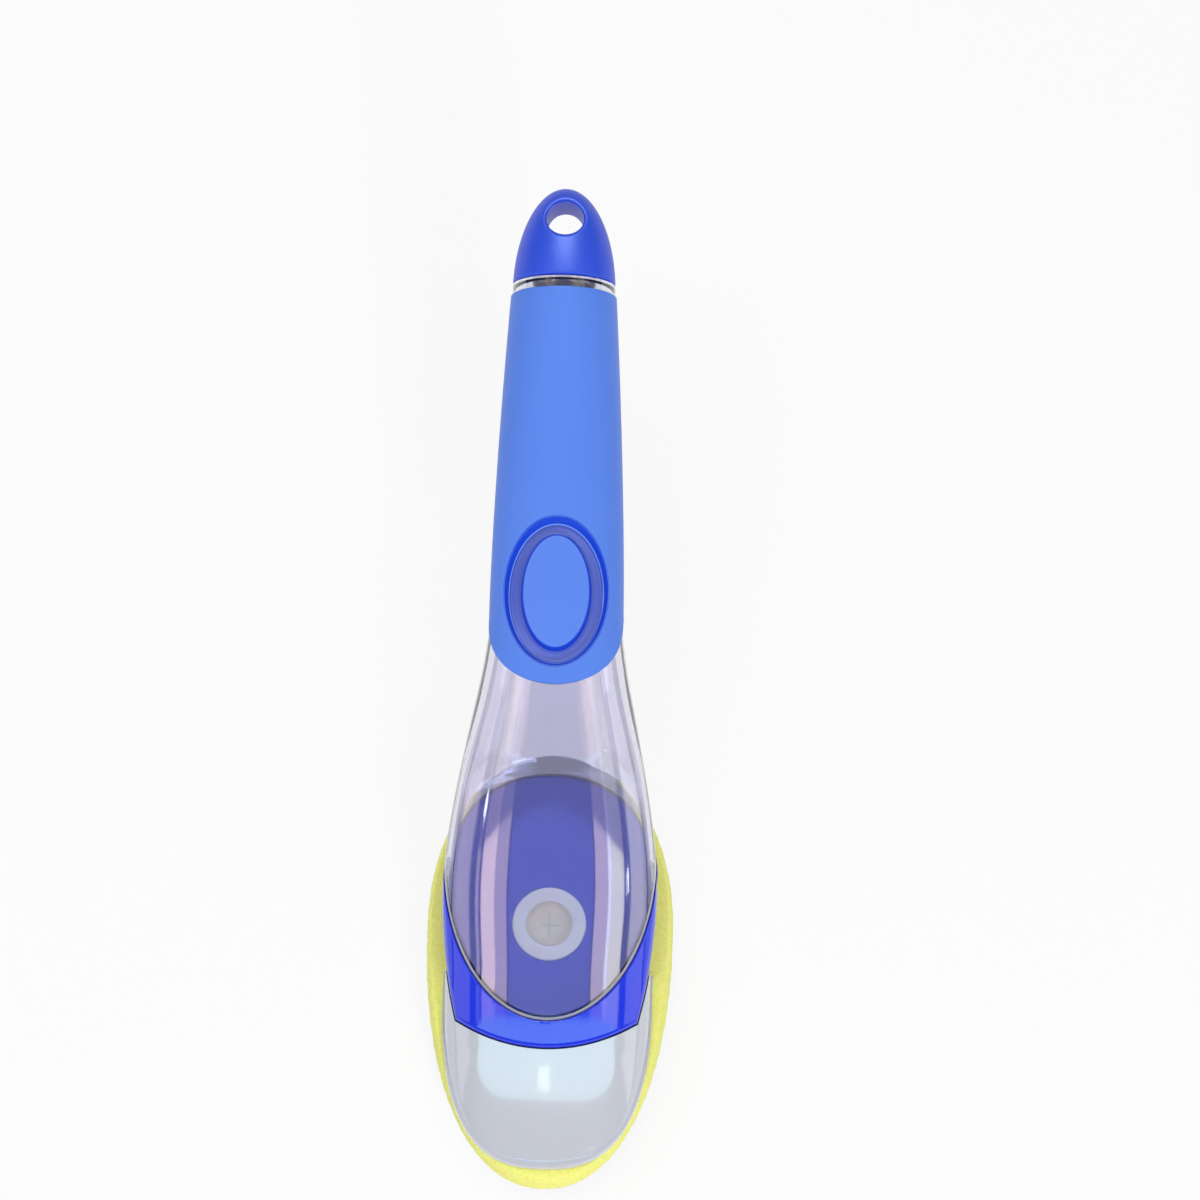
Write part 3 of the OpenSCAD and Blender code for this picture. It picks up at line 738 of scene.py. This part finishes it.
def grip_point(a, s, d):
    power = side_power(s)
    angle = math.radians(a)
    x = (handle_width(s) + d) * curl(math.cos(angle), power)
    n = (half_depth(s) + d) * curl(math.sin(angle), power)
    return on_axis(x, n, s)


def grip_chart(a, s):
    """A flat chart of the grip in which rays from the button's centre are straight."""
    return np.array([(90 - a) / 90 * GRIP_HALF_W * CHART_STRETCH, s - BUTTON_S])


def from_chart(p):
    return 90 - p[0] / (GRIP_HALF_W * CHART_STRETCH) * 90, p[1] + BUTTON_S


def oval_in_chart(direction, grow):
    """Where a ray in the chart crosses the button's oval grown by grow."""
    lo, hi = 0.0, 60.0
    half_w, half_l, _ = grown(RING_OVAL, grow)
    for _ in range(36):
        mid = (lo + hi) / 2
        a, s = from_chart(direction * mid)
        x = handle_width(s) * curl(math.cos(math.radians(a)), side_power(s))
        inside = (x / half_w) ** 2 + ((s - BUTTON_S) / half_l) ** 2 < 1 and abs(90 - a) < 90
        lo, hi = (mid, hi) if inside else (lo, mid)
    return direction * lo


def grip_solid(top_d, low_d, inset, hole):
    """Grip or a cutter for its seat. With a hole it has an oval opening for the ring wall."""
    edge_r = GRIP_EDGE_R if hole else 0.0
    low_steps = 30
    outer = [grip_chart(*p) for p in grip_edge(inset)]
    pulled = [grip_chart(*p) for p in grip_edge(inset + max(edge_r, 0.05))]
    shares = [1 - (1 - k / 40) ** 1.25 for k in range(41)]
    directions = [p / np.linalg.norm(p) for p in outer]
    if hole:
        inner = [oval_in_chart(v, hole) for v in directions]
        inner_in = [oval_in_chart(v, hole + edge_r) for v in directions]
    else:
        inner = inner_in = [p * 0.02 for p in outer]

    def ring(starts, ends, t, d):
        return [grip_point(*from_chart(mix(a, b, t)), d) for a, b in zip(starts, ends)]

    rings = []
    if hole:
        rings.append(ring(inner, inner, 0, top_d - edge_r))
        for a in turns(5, 60, 15):
            rings.append(ring(inner, inner_in, 1 - math.sin(a), top_d - edge_r * (1 - math.cos(a))))
    rings += [ring(inner_in, pulled, t, top_d) for t in shares]
    if hole:
        for a in turns(5, 15, 75):
            rings.append(ring(pulled, outer, math.sin(a), top_d - edge_r * (1 - math.cos(a))))
    rings.append(ring(outer, outer, 0, top_d - edge_r))
    rings.append(ring(outer, outer, 0, low_d))
    rings += [ring(outer, inner, k / low_steps, low_d) for k in range(1, low_steps + 1)]
    if hole:
        return loft("grip", rings, hoop=True)
    return loft("seat", rings, *(grip_point(90, BUTTON_S, d) for d in (top_d, low_d)))


def button_well():
    """Hollow in the clear wall for the soft skin, and the way through it."""
    seat, down, up = -GRIP_INLAY - 0.9, 7.0, -3.0
    hole, seat_oval = grown(GROOVE_OVAL, 0.85), grown(RING_OVAL, -0.18)
    rings = [oval_ring(scaled(hole, k / 4), seat, down) for k in (1, 2, 3, 4)]
    rings += [oval_ring(hole, seat), oval_ring(seat_oval, seat), oval_ring(seat_oval, 0, up)]
    rings += [oval_ring(scaled(seat_oval, k / 4), 0, up) for k in (3, 2, 1)]
    hole_s = BUTTON_S + GROOVE_OVAL[2]
    return loft("well", rings, on_form(0, hole_s, seat, down), on_form(0, BUTTON_S, 0, up))


def thread_ridge(r_root, r_crest, low_s, share, start=0.0):
    """Ridge that winds up for a share of a turn and fades at its ends."""
    steps = int(share * 96)
    rings = []
    for k in range(steps + 1):
        a = 2 * math.pi * share * k / steps + start
        s = low_s + THREAD_LEAD * share * k / steps
        fade = min(1, 0.25 + min(k, steps - k) / 10)
        tip = mix(r_root, r_crest, fade)
        section = ((r_root, -0.5), (tip, -0.25), (tip, 0.25), (r_root, 0.5))
        rings.append([on_axis(*polar(r, a), s + THREAD_W * h) for r, h in section])
    return loft("thread", rings)


def make_shell():
    """Clear body: handle, neck with its thread, and the dome over the head, hollow throughout."""
    upper = prism(dome_outline(0), FLOOR_TOP, FLOOR_TOP + DOME_UP)
    shell = within(wand_form(0, -SHOE_FRONT_Y), upper)

    def wall(y):
        return mix(HEAD_WALL, SHELL_WALL, smooth((y - WALL_THIN_Y) / WALL_BLEND_L))

    cavity = wand_form(lambda y: -wall(y), -SHOE_FRONT_Y, CAVITY_TOP_S)
    cavity = within(cavity, prism(dome_outline(-DOME_RIM_WALL), FLOOR_TOP - PAST, FLOOR_TOP + DOME_UP))
    sill = box((-45, -45, FLOOR_TOP - 2), (45, 90, FLOOR_TOP + SILL_T))
    minus(cavity, minus(sill, prism(shoe_outline(-0.8), FLOOR_TOP - 3, FLOOR_TOP + 3)))
    minus(shell, cavity)
    minus(shell, rim_cutter(dome_outline, DOME_EDGE_R))
    minus(shell, grip_solid(3.0, -GRIP_INLAY + 0.05, 0.06, None))
    minus(shell, button_well())
    plus(shell, rod(NECK_R, COLLAR_TOP_S - NECK_ROOT_L, NECK_TOP_S, on_axis))
    minus(shell, rod(FILL_R, FILL_LOW_S, NECK_TOP_S + 5, on_axis))
    crest = NECK_R + THREAD_DEPTH
    plus(shell, thread_ridge(NECK_R - THREAD_ROOT, crest, NECK_THREAD_S, THREAD_TURNS))
    return shell


# Cap
def cap_radius(s):
    return COLLAR_R * math.sqrt(max(0.0, 1 - ((s - CAP_CORE_S) / (CAP_TIP_S - CAP_CORE_S)) ** 2))


def hang_ring(grow, fall, side):
    """Ring round the hanging hole, below the cap's surface on one side."""
    ring = []
    for a in turns(TURN_COUNT):
        x, rise = polar(HANG_R + grow, a)
        s = HANG_S + rise
        surface = math.sqrt(max(1.0, cap_radius(s) ** 2 - x * x))
        ring.append(on_axis(x, side * (surface - fall), s))
    return ring


def make_cap():
    r, edge_s = CAP_EDGE_R, CAP_LOW_S + CAP_EDGE_R
    edge_out = cap_radius(edge_s) - r
    profile = [(edge_out + r * math.sin(a), edge_s - r * math.cos(a)) for a in turns(6, 0, 90, closed=True)]
    for a in turns(72, 1.2, 89):
        s = mix(edge_s, CAP_TIP_S, math.sin(a))
        profile.append((cap_radius(s), s))
    cap = loft("cap", turned(profile, on_axis, OVAL_COUNT), None, on_axis(0, 0, CAP_TIP_S))
    minus(cap, rod(CAP_BORE_R, CAP_LOW_S - PAST, CAP_BORE_TOP_S, on_axis))
    lip = [(HANG_LIP + 0.4, -6.0), (HANG_LIP + 0.12, -0.12)]
    for a in turns(9, 14, 90, closed=True):
        lip.append((HANG_LIP * (1 - math.sin(a)), HANG_LIP * (1 - math.cos(a))))
    rings = [hang_ring(g, f, 1) for g, f in lip] + [hang_ring(g, f, -1) for g, f in reversed(lip)]
    minus(cap, loft("hole", rings))
    root, crest = CAP_BORE_R + THREAD_ROOT, CAP_BORE_R - THREAD_DEPTH
    plus(cap, thread_ridge(root, crest, CAP_THREAD_S, THREAD_TURNS / 2))
    plus(cap, thread_ridge(root, crest, CAP_THREAD_S + THREAD_LEAD / 2, THREAD_TURNS / 2, math.pi))
    return cap


# Head
def rim_cutter(outline, radius, outwards=1):
    """Cuts a round edge of that radius where the head's upper surface meets an upright wall on an outline.
    The wall's solid lies inside the outline, or outside it where outwards is -1."""
    def ring(inset, lift):
        return [(x, y, form_top(x, y) + lift) for x, y in outline(-outwards * inset)]

    beyond, above = -1.2, 7.0
    arc = [(radius * (1 - math.cos(a)), -radius * (1 - math.sin(a))) for a in turns(9, 8, 82, closed=True)]
    rings = [ring(beyond, above), ring(beyond, arc[0][1])]
    rings += [ring(inset, lift) for inset, lift in arc] + [ring(arc[-1][0], above)]
    return loft("tool", rings, hoop=True)


def rail_boxes(side):
    x0, x1 = sorted((side * SHOE_RAIL_X, side * (SHOE_RAIL_X + RAIL_T)))
    hook = sorted((side * (SHOE_RAIL_X - HOOK), side * (SHOE_RAIL_X + 0.01)))
    return (
        box((x0, RAIL_TOE_Y, HOOK_LOW), (x1, RAIL_HEEL_Y, FLOOR_LOW + 0.05)),
        box((hook[0], RAIL_TOE_Y, HOOK_LOW), (hook[1], RAIL_HEEL_Y, HOOK_LOW + HOOK_T)),
    )


def base_rail_boxes(side):
    top, ledge = FLOOR_LOW - SLIDE_GAP, HOOK_LOW + HOOK_T + SLIDE_GAP
    web = sorted((side * BASE_RAIL_X, side * (BASE_RAIL_X + RAIL_T)))
    hook = sorted((side * (BASE_RAIL_X + RAIL_T - 0.01), side * (BASE_RAIL_X + RAIL_T + HOOK)))
    return (
        box((web[0], RAIL_TOE_Y, PLATE_TOP - 0.05), (web[1], RAIL_HEEL_Y, top)),
        box((hook[0], RAIL_TOE_Y, ledge), (hook[1], RAIL_HEEL_Y, top)),
    )


def make_shoe():
    """Head housing that the clear body sits in: floor, skirt, rails for the refill and the valve's seat."""
    upper = prism(shoe_outline(), FLOOR_TOP - 0.5, FLOOR_TOP + FORM_UP)
    shoe = within(wand_form(0, -SHOE_FRONT_Y - 12, HEAD_END_S), upper)
    minus(shoe, prism(dome_outline(DOME_GAP), FLOOR_TOP, FLOOR_TOP + CUT_UP))
    minus(shoe, rim_cutter(shoe_outline, SHOE_EDGE_R))
    minus(shoe, rim_cutter(lambda d: dome_outline(DOME_GAP + d), LEDGE_EDGE_R, -1))
    floor = prism(shoe_outline(), SKIRT_LOW, FLOOR_TOP)
    minus(floor, prism(shoe_outline(-SHOE_WALL), SKIRT_LOW - PAST, FLOOR_LOW))
    plus(shoe, floor)
    plus(shoe, rod(BOSS_R, BOSS_LOW, FLOOR_TOP - 0.2, valve_place))
    plus(shoe, *rail_boxes(1), *rail_boxes(-1))
    front = (SHOE_RAIL_X, RAIL_TOE_Y - 0.01, FLOOR_LOW)
    minus(shoe, box((-SHOE_RAIL_X, -SHOE_FRONT_Y - PAST, SKIRT_LOW - PAST), front))
    seat = FLOOR_TOP - SEAT_DEPTH
    for radius, bore_low in ((RING_R, seat), (FLANGE_R, seat - FLANGE_T), (NOZZLE_R, BOSS_LOW - PAST)):
        minus(shoe, rod(radius + VALVE_FIT, bore_low, FLOOR_TOP + BORE_UP, valve_place))
    return shoe


def make_base():
    """Plate of the refill with its convex toe, its rails and the hole for the soap."""
    ahead, behind = (-40, -TOE_Y - 2, FOAM_TOP), (40, -5)
    toe = within(wand_form(-TOE_INSET, -TOE_Y, HEAD_END_S), box(ahead, (*behind, FOAM_TOP + FORM_UP)))
    plus(toe, within(wand_form(0, -TOE_Y, HEAD_END_S), box(ahead, (*behind, FOAM_TOP + TOE_RIM_H))))
    minus(toe, prism(shoe_outline(SLIDE_GAP), PLATE_TOP, FOAM_TOP + CUT_UP))
    minus(toe, rim_cutter(lambda d: shoe_outline(SLIDE_GAP + d), TOE_EDGE_R, -1))
    hollow = box(
        (-TOE_HOLLOW_HALF_W, TOE_HOLLOW_FROM_Y, FOAM_TOP - PAST),
        (TOE_HOLLOW_HALF_W, TOE_HOLLOW_TO_Y, FOAM_TOP + TOE_HOLLOW_H),
    )
    minus(toe, hollow)
    for outline in (shoe_outline(-PLATE_INSET), plate_heel()):
        plus(toe, prism(outline, FOAM_TOP, PLATE_TOP))
    plus(toe, *base_rail_boxes(1), *base_rail_boxes(-1))
    plus(toe, rod(SOAP_R + SOAP_WALL, PLATE_TOP - 0.5, BOSS_LOW - SLIDE_GAP, valve_place))
    minus(toe, rod(SOAP_R, FOAM_TOP - PAST, FLOOR_TOP, valve_place))
    return toe


def make_valve_ring():
    low, top, r = FLOOR_TOP - SEAT_DEPTH, FLOOR_TOP + RING_PROUD, 0.45
    profile = [(RING_BORE_R, low), (RING_R, low)]
    profile += arc_profile((RING_R - r, top - r), r, 0, 90)
    profile += arc_profile((RING_BORE_R + r, top - r), r, 90, 180)
    return lathe("ring", profile, valve_place)


def make_valve():
    """Disc with a cross slit, held by its flange, and a nozzle down to the refill."""
    seat, inside = FLOOR_TOP - SEAT_DEPTH, 0.01
    low, rim, wall = seat - FLANGE_T, RING_BORE_R - 0.7, 1
    disc = [(inside, low + 0.9), (rim - 0.4, low + 0.9), (rim - 0.1, low + 1.02), (rim, seat)]
    flange = [(FLANGE_R, seat), (FLANGE_R, low), (NOZZLE_R, low)]
    nozzle = [(NOZZLE_R, BOSS_LOW), (NOZZLE_R - wall, BOSS_LOW), (NOZZLE_R - wall, low), (inside, low)]
    valve = lathe("valve", disc + flange + nozzle, valve_place)
    slit = 0.12
    for half_x, half_y in ((SLIT_L / 2, slit / 2), (slit / 2, SLIT_L / 2)):
        minus(valve, box((-half_x, VALVE_Y - half_y, low - PAST), (half_x, VALVE_Y + half_y, FLOOR_TOP)))
    return valve


def roughen(obj, size, scale, z_free=None):
    """Small fixed unevenness along the normals, by noise at scale per millimetre."""
    mesh = obj.data
    normals = [v.normal.copy() for v in mesh.vertices]
    for v, n in zip(mesh.vertices, normals):
        p = v.co / MM * scale
        lift = noise.noise(p) + 0.5 * noise.noise(p * 2.7)
        if z_free is not None and abs(v.co.z / MM - z_free) < 0.3:
            continue
        v.co += n * (lift * size * MM)
    return obj


def make_foam():
    """Cut foam, a little fuller at half height, with softly rounded edges."""
    levels, insets = (0, 0.12, 0.45, 0.8, 1), (-1.3, -0.4, 0, -0.5, FOAM_TOP_INSET)
    side_steps, top_steps = 22, 12
    rings = []
    for k in range(side_steps + 1):
        t = k / side_steps
        inset = float(np.interp(t, levels, insets))
        bulge = -0.35 * math.sin(math.pi * t * 2) ** 2
        rings.append([(x, y, SCRUB_T + FOAM_T * t) for x, y in foam_outline(inset + bulge * 0.3)])
    top = foam_outline(FOAM_TOP_INSET)
    for k in range(1, top_steps):
        share = 1 - k / top_steps
        rings.append([(x * share, FOAM_WIDE_Y + (y - FOAM_WIDE_Y) * share, FOAM_TOP) for x, y in top])
    foam = loft("foam", rings, None, (0, FOAM_WIDE_Y, FOAM_TOP))
    return roughen(foam, 0.22, 0.9, FOAM_TOP)


def make_scrub():
    profile = ((-1.3, 0.0), (-1.0, 0.35), (-0.95, 1.6), (-1.05, 3.2), (-1.0, 4.5), (-1.15, SCRUB_T))
    rings = [[(x, y, z) for x, y in foam_outline(grow)] for grow, z in profile]
    return roughen(loft("scrub", rings), 0.16, 1.7, 0.0)


# Faces of a piece that have a second material. The dome's cut edge takes up this share of its reach
EDGE_SHARE, LEVEL_GAP, FACES_UP = 0.75 / 40, 0.05, 0.9


def at_dome_rim(polygon):
    points = corners(reservoir, polygon)
    half_l = DOME_FRONT_Y + DOME_WIDE_Y
    reach = [math.hypot(p.x / DOME_HALF_W, (p.y - DOME_WIDE_Y) / half_l) for p in points]
    return max(p.y for p in points) < DOME_WIDE_Y and min(reach) > 1 - EDGE_SHARE


def on_bead(polygon):
    return polygon.index // OVAL_COUNT in BEAD_ROWS


def on_pad_side(polygon):
    return polygon.index // OVAL_COUNT in pad_side_rows and len(polygon.vertices) == 4


def on_shoe_floor(polygon):
    heights = [p.z for p in corners(shoe, polygon)]
    return polygon.normal.z > FACES_UP and max(abs(z - FLOOR_TOP) for z in heights) < LEVEL_GAP


reservoir = finish_piece(make_shell(), "clear_reservoir", "handle", CLEAR, ["handle_shell"])
paint(reservoir, CLEAR_EDGE, at_dome_rim)
grip = grip_solid(GRIP_PROUD, -GRIP_INLAY, 0, 0.02)
finish_piece(grip, "grip_skin", "handle", GRIP, ["grip_sleeve"])
ring_wall = finish_piece(make_bezel(), "ring_wall", "handle", BEZEL, ["button_bezel"])
# The beads get the painted-highlight blue
paint(ring_wall, BEAD_HIGHLIGHT, on_bead)
finish_piece(make_skin_wall(), "groove_sleeve", "handle", SKIN_SHADED, ["button_membrane"])
finish_piece(make_skin_floor(), "groove_floor", "button", SKIN_SHADED, ["button_membrane"])
pad, pad_side_rows = make_button()
finish_piece(pad, "thumb_pad", "button", BUTTON, ["thumb_button"])
# Painted shade: the pad's side takes the ring wall's darker blue, though the pad is one moulding
paint(pad, BEZEL, on_pad_side)
finish_piece(make_cap(), "screw_cap", "cap", CAP, ["end_cap"])
shoe = finish_piece(make_shoe(), "head_shoe", "handle", SHOE, ["shoe"])
# The shoe's floor under the dome gets the painted-shade blue
paint(shoe, SHOE_FLOOR_SHADE, on_shoe_floor)
finish_piece(make_valve_ring(), "valve_ring", "handle", MILKY, ["valve_retainer"])
finish_piece(make_valve(), "slit_valve", "handle", VALVE, ["soap_valve"])
finish_piece(make_base(), "toe_base", "refill", WHITE, ["refill_base"])
foam = finish_piece(make_foam(), "foam_block", "refill", FOAM, ["sponge"], sharp=50)
scrub = finish_piece(make_scrub(), "scrub_layer", "refill", SCRUB, ["scrub_pad"], sharp=50)

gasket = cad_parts["cap_gasket"]
gasket.data.materials.clear()
gasket.data.materials.append(SEAL_AND_SHADE)


# Camera at the photograph's viewing angle
CAMERA_AT = Vector((12.1, -116.4, 634.8)) * MM
CAMERA_ELEVATION, CAMERA_ROLL, CAMERA_LENS, CAMERA_SENSOR = math.radians(70), math.radians(1.26), 66.0, 36
NEAREST, FARTHEST = 0.01, 20


def aim(obj, at, right, up, back):
    pose = Matrix((right, up, back)).transposed().to_4x4()
    pose.translation = at
    obj.matrix_world = pose


camera = linked("camera", bpy.data.cameras.new("camera"))
camera.data.lens, camera.data.sensor_width = CAMERA_LENS, CAMERA_SENSOR
camera.data.clip_start, camera.data.clip_end = NEAREST, FARTHEST
back = Vector((0, -math.cos(CAMERA_ELEVATION), math.sin(CAMERA_ELEVATION)))
up = Vector((0, math.sin(CAMERA_ELEVATION), math.cos(CAMERA_ELEVATION)))
right = Vector((1, 0, 0))
rolled_right = right * math.cos(CAMERA_ROLL) + up * math.sin(CAMERA_ROLL)
rolled_up = up * math.cos(CAMERA_ROLL) - right * math.sin(CAMERA_ROLL)
aim(camera, CAMERA_AT, rolled_right, rolled_up, back)
bpy.context.scene.camera = camera


# Floor and world. Brightness 1 is white
FLOOR_HALF, FLOOR_COLOUR, FLOOR_ROUGH = 12000, (0.86, 0.86, 0.87), 0.9
FLOOR_FADE_FROM, FLOOR_FADE_TO, FLOOR_GLOW = 0.35, 2.5, 0.84
WORLD_COLOUR, WORLD_LEVEL, WORLD_GLOSS = (0.94, 0.96, 1), 0.57, 0.12


def seen_directly(nodes, links, *rays):
    """1 for these kinds of ray while they have not yet lit anything, so that the backdrop lights nothing."""
    path = nodes.new("ShaderNodeLightPath")
    total = path.outputs[rays[0]]
    for ray in rays[1:]:
        total = combine(nodes, links, "MAXIMUM", total, path.outputs[ray])
    return combine(nodes, links, "SUBTRACT", total, path.outputs["Diffuse Depth"], clamp=True)


def pale_floor():
    """Pale floor that keeps the object's shadow, and fades to white far from it."""
    square = [(x * FLOOR_HALF, y * FLOOR_HALF, 0) for x, y in ((-1, -1), (1, -1), (1, 1), (-1, 1))]
    plane = new_object("floor", square, [(0, 1, 2, 3)])
    mat, nodes, links, shader = material("floor_white")
    put(shader, Base_Color=(*FLOOR_COLOUR, 1), Roughness=FLOOR_ROUGH)
    glow = put(nodes.new("ShaderNodeEmission"), Strength=1)
    away = nodes.new("ShaderNodeVectorMath")
    away.operation = "LENGTH"
    links.new(nodes.new("ShaderNodeTexCoord").outputs["Object"], away.inputs[0])
    fade = put(nodes.new("ShaderNodeMapRange"), From_Min=FLOOR_FADE_FROM, From_Max=FLOOR_FADE_TO)
    put(fade, To_Min=FLOOR_GLOW, To_Max=1)
    links.new(away.outputs["Value"], fade.inputs["Value"])
    seen = seen_directly(nodes, links, "Is Camera Ray", "Is Glossy Ray", "Is Transmission Ray")
    share = combine(nodes, links, "MULTIPLY", seen, fade.outputs["Result"])
    choose_shader(nodes, links, share, shader, glow, "Material Output")
    plane.data.materials.append(mat)


def white_world():
    """White where it is seen, and softer where it lights the surfaces or is seen in the gloss."""
    world = bpy.data.worlds.new("studio")
    bpy.context.scene.world = world
    world.use_nodes = True
    nodes, links = world.node_tree.nodes, world.node_tree.links
    soft = put(nodes["Background"], Color=(*WORLD_COLOUR, 1))
    in_gloss = nodes.new("ShaderNodeLightPath").outputs["Is Glossy Ray"]
    spread(nodes, links, in_gloss, WORLD_LEVEL, WORLD_GLOSS, soft.inputs["Strength"])
    white = put(nodes.new("ShaderNodeBackground"), Color=(1, 1, 1, 1), Strength=1)
    seen = seen_directly(nodes, links, "Is Camera Ray", "Is Transmission Ray")
    choose_shader(nodes, links, seen, soft, white, "World Output")


pale_floor()
white_world()


# Lamps: a key and a soft fill light the surfaces, the others are seen in the gloss and the clear plastic
PANEL_Z, GLINT_Z, SIDE_Z = 0.8, 0.79, 0.5
AIM_POINT = (0, 0.06, 0.04)
KEY_TONE, WARM_TONE, GLINT_TONE = (1, 0.98, 0.95), (1, 0.88, 0.92), (0.93, 1, 0.96)
HEAD_ROW, NECK_ROW = (-0.42, -0.16, 1), (-0.16, 0.3, 0.24)


def lamp(name, at, towards, size, level, colour=(1, 1, 1), shape="RECTANGLE", gloss=True):
    """Area lamp; size is across and along y, and level is its brightness.
    One with gloss lights no surface, and one without lights the surfaces only."""
    light = bpy.data.lights.new(name, "AREA")
    light.shape, (light.size, light.size_y) = shape, size
    light.energy, light.color = level * math.pi * size[0] * size[1], colour
    obj = linked(name, light)
    back = (Vector(at) - Vector(towards)).normalized()
    along = Vector((0, 1, 0))
    along = (along - back * back.dot(along)).normalized()
    aim(obj, at, along.cross(back), along, back)
    obj.visible_glossy, obj.visible_diffuse, obj.visible_transmission = gloss, not gloss, gloss


def panel(name, x, y, size, level, colour, z=PANEL_Z, shape="RECTANGLE"):
    """Lamp that faces straight down."""
    lamp(name, (x, y, z), (x, y, 0), size, level, colour, shape)


lamp("front_key", (0.36, -0.8, 0.7), AIM_POINT, (0.2, 0.2), 34, KEY_TONE, gloss=False)
lamp("top_fill", (-0.25, 0.1, 0.95), AIM_POINT, (0.9, 0.7), 1.5, gloss=False)
panel("toe_panel", 0, -0.46, (1.5, 0.21), 2.5, (0.55, 0.9, 1), shape="ELLIPSE")
panel("cap_panel", 0.02, 0.62, (0.46, 0.5), 11, (0.7, 0.9, 1))
# Strips along the wand on either side of its middle: name, x from and to, brightness over the head, tone
for name, x0, x1, level, tone in (
    ("left_edge", -0.4, -0.27, 1.4, (1, 0.78, 0.75)),
    ("left_wide", -0.62, -0.4, 3.0, (1, 0.77, 0.66)),
    ("left_thin", -0.76, -0.67, 1.1, (1, 0.88, 0.9)),
    ("right_edge", 0.27, 0.42, 1.8, (1, 0.82, 0.76)),
    ("right_thin", 0.42, 0.47, 3.4, (1, 1, 1)),
    ("right_wide", 0.47, 0.74, 2.9, (1, 0.97, 0.7)),
):
    for part, (y0, y1, share) in (("head", HEAD_ROW), ("neck", NECK_ROW)):
        panel(f"{name}_{part}", (x0 + x1) / 2, (y0 + y1) / 2, (x1 - x0, y1 - y0), level * share, tone)
panel("dome_middle", 0, -0.29, (0.5, 0.24), 0.8, (0.12, 0.2, 1))
for name, x, level, tone in (("far_left", -1.1, 1.2, WARM_TONE), ("far_right", 1.1, 1.5, (1, 0.99, 0.96))):
    lamp(name, (x, -0.15, SIDE_Z), (0, -0.15, SIDE_Z), (0.75, 0.7), level, tone)
for name, x, y, size, level in (
    ("toe_glint", -0.02, -0.505, (0.04, 0.06), 3.5),
    ("neck_glint", -0.7, -0.1, (0.03, 0.03), 14),
    ("dome_glint", 0.85, -0.2, (0.03, 0.05), 14),
):
    panel(name, x, y, size, level, GLINT_TONE, GLINT_Z)
bpy.context.scene.view_settings.view_transform = "Standard"
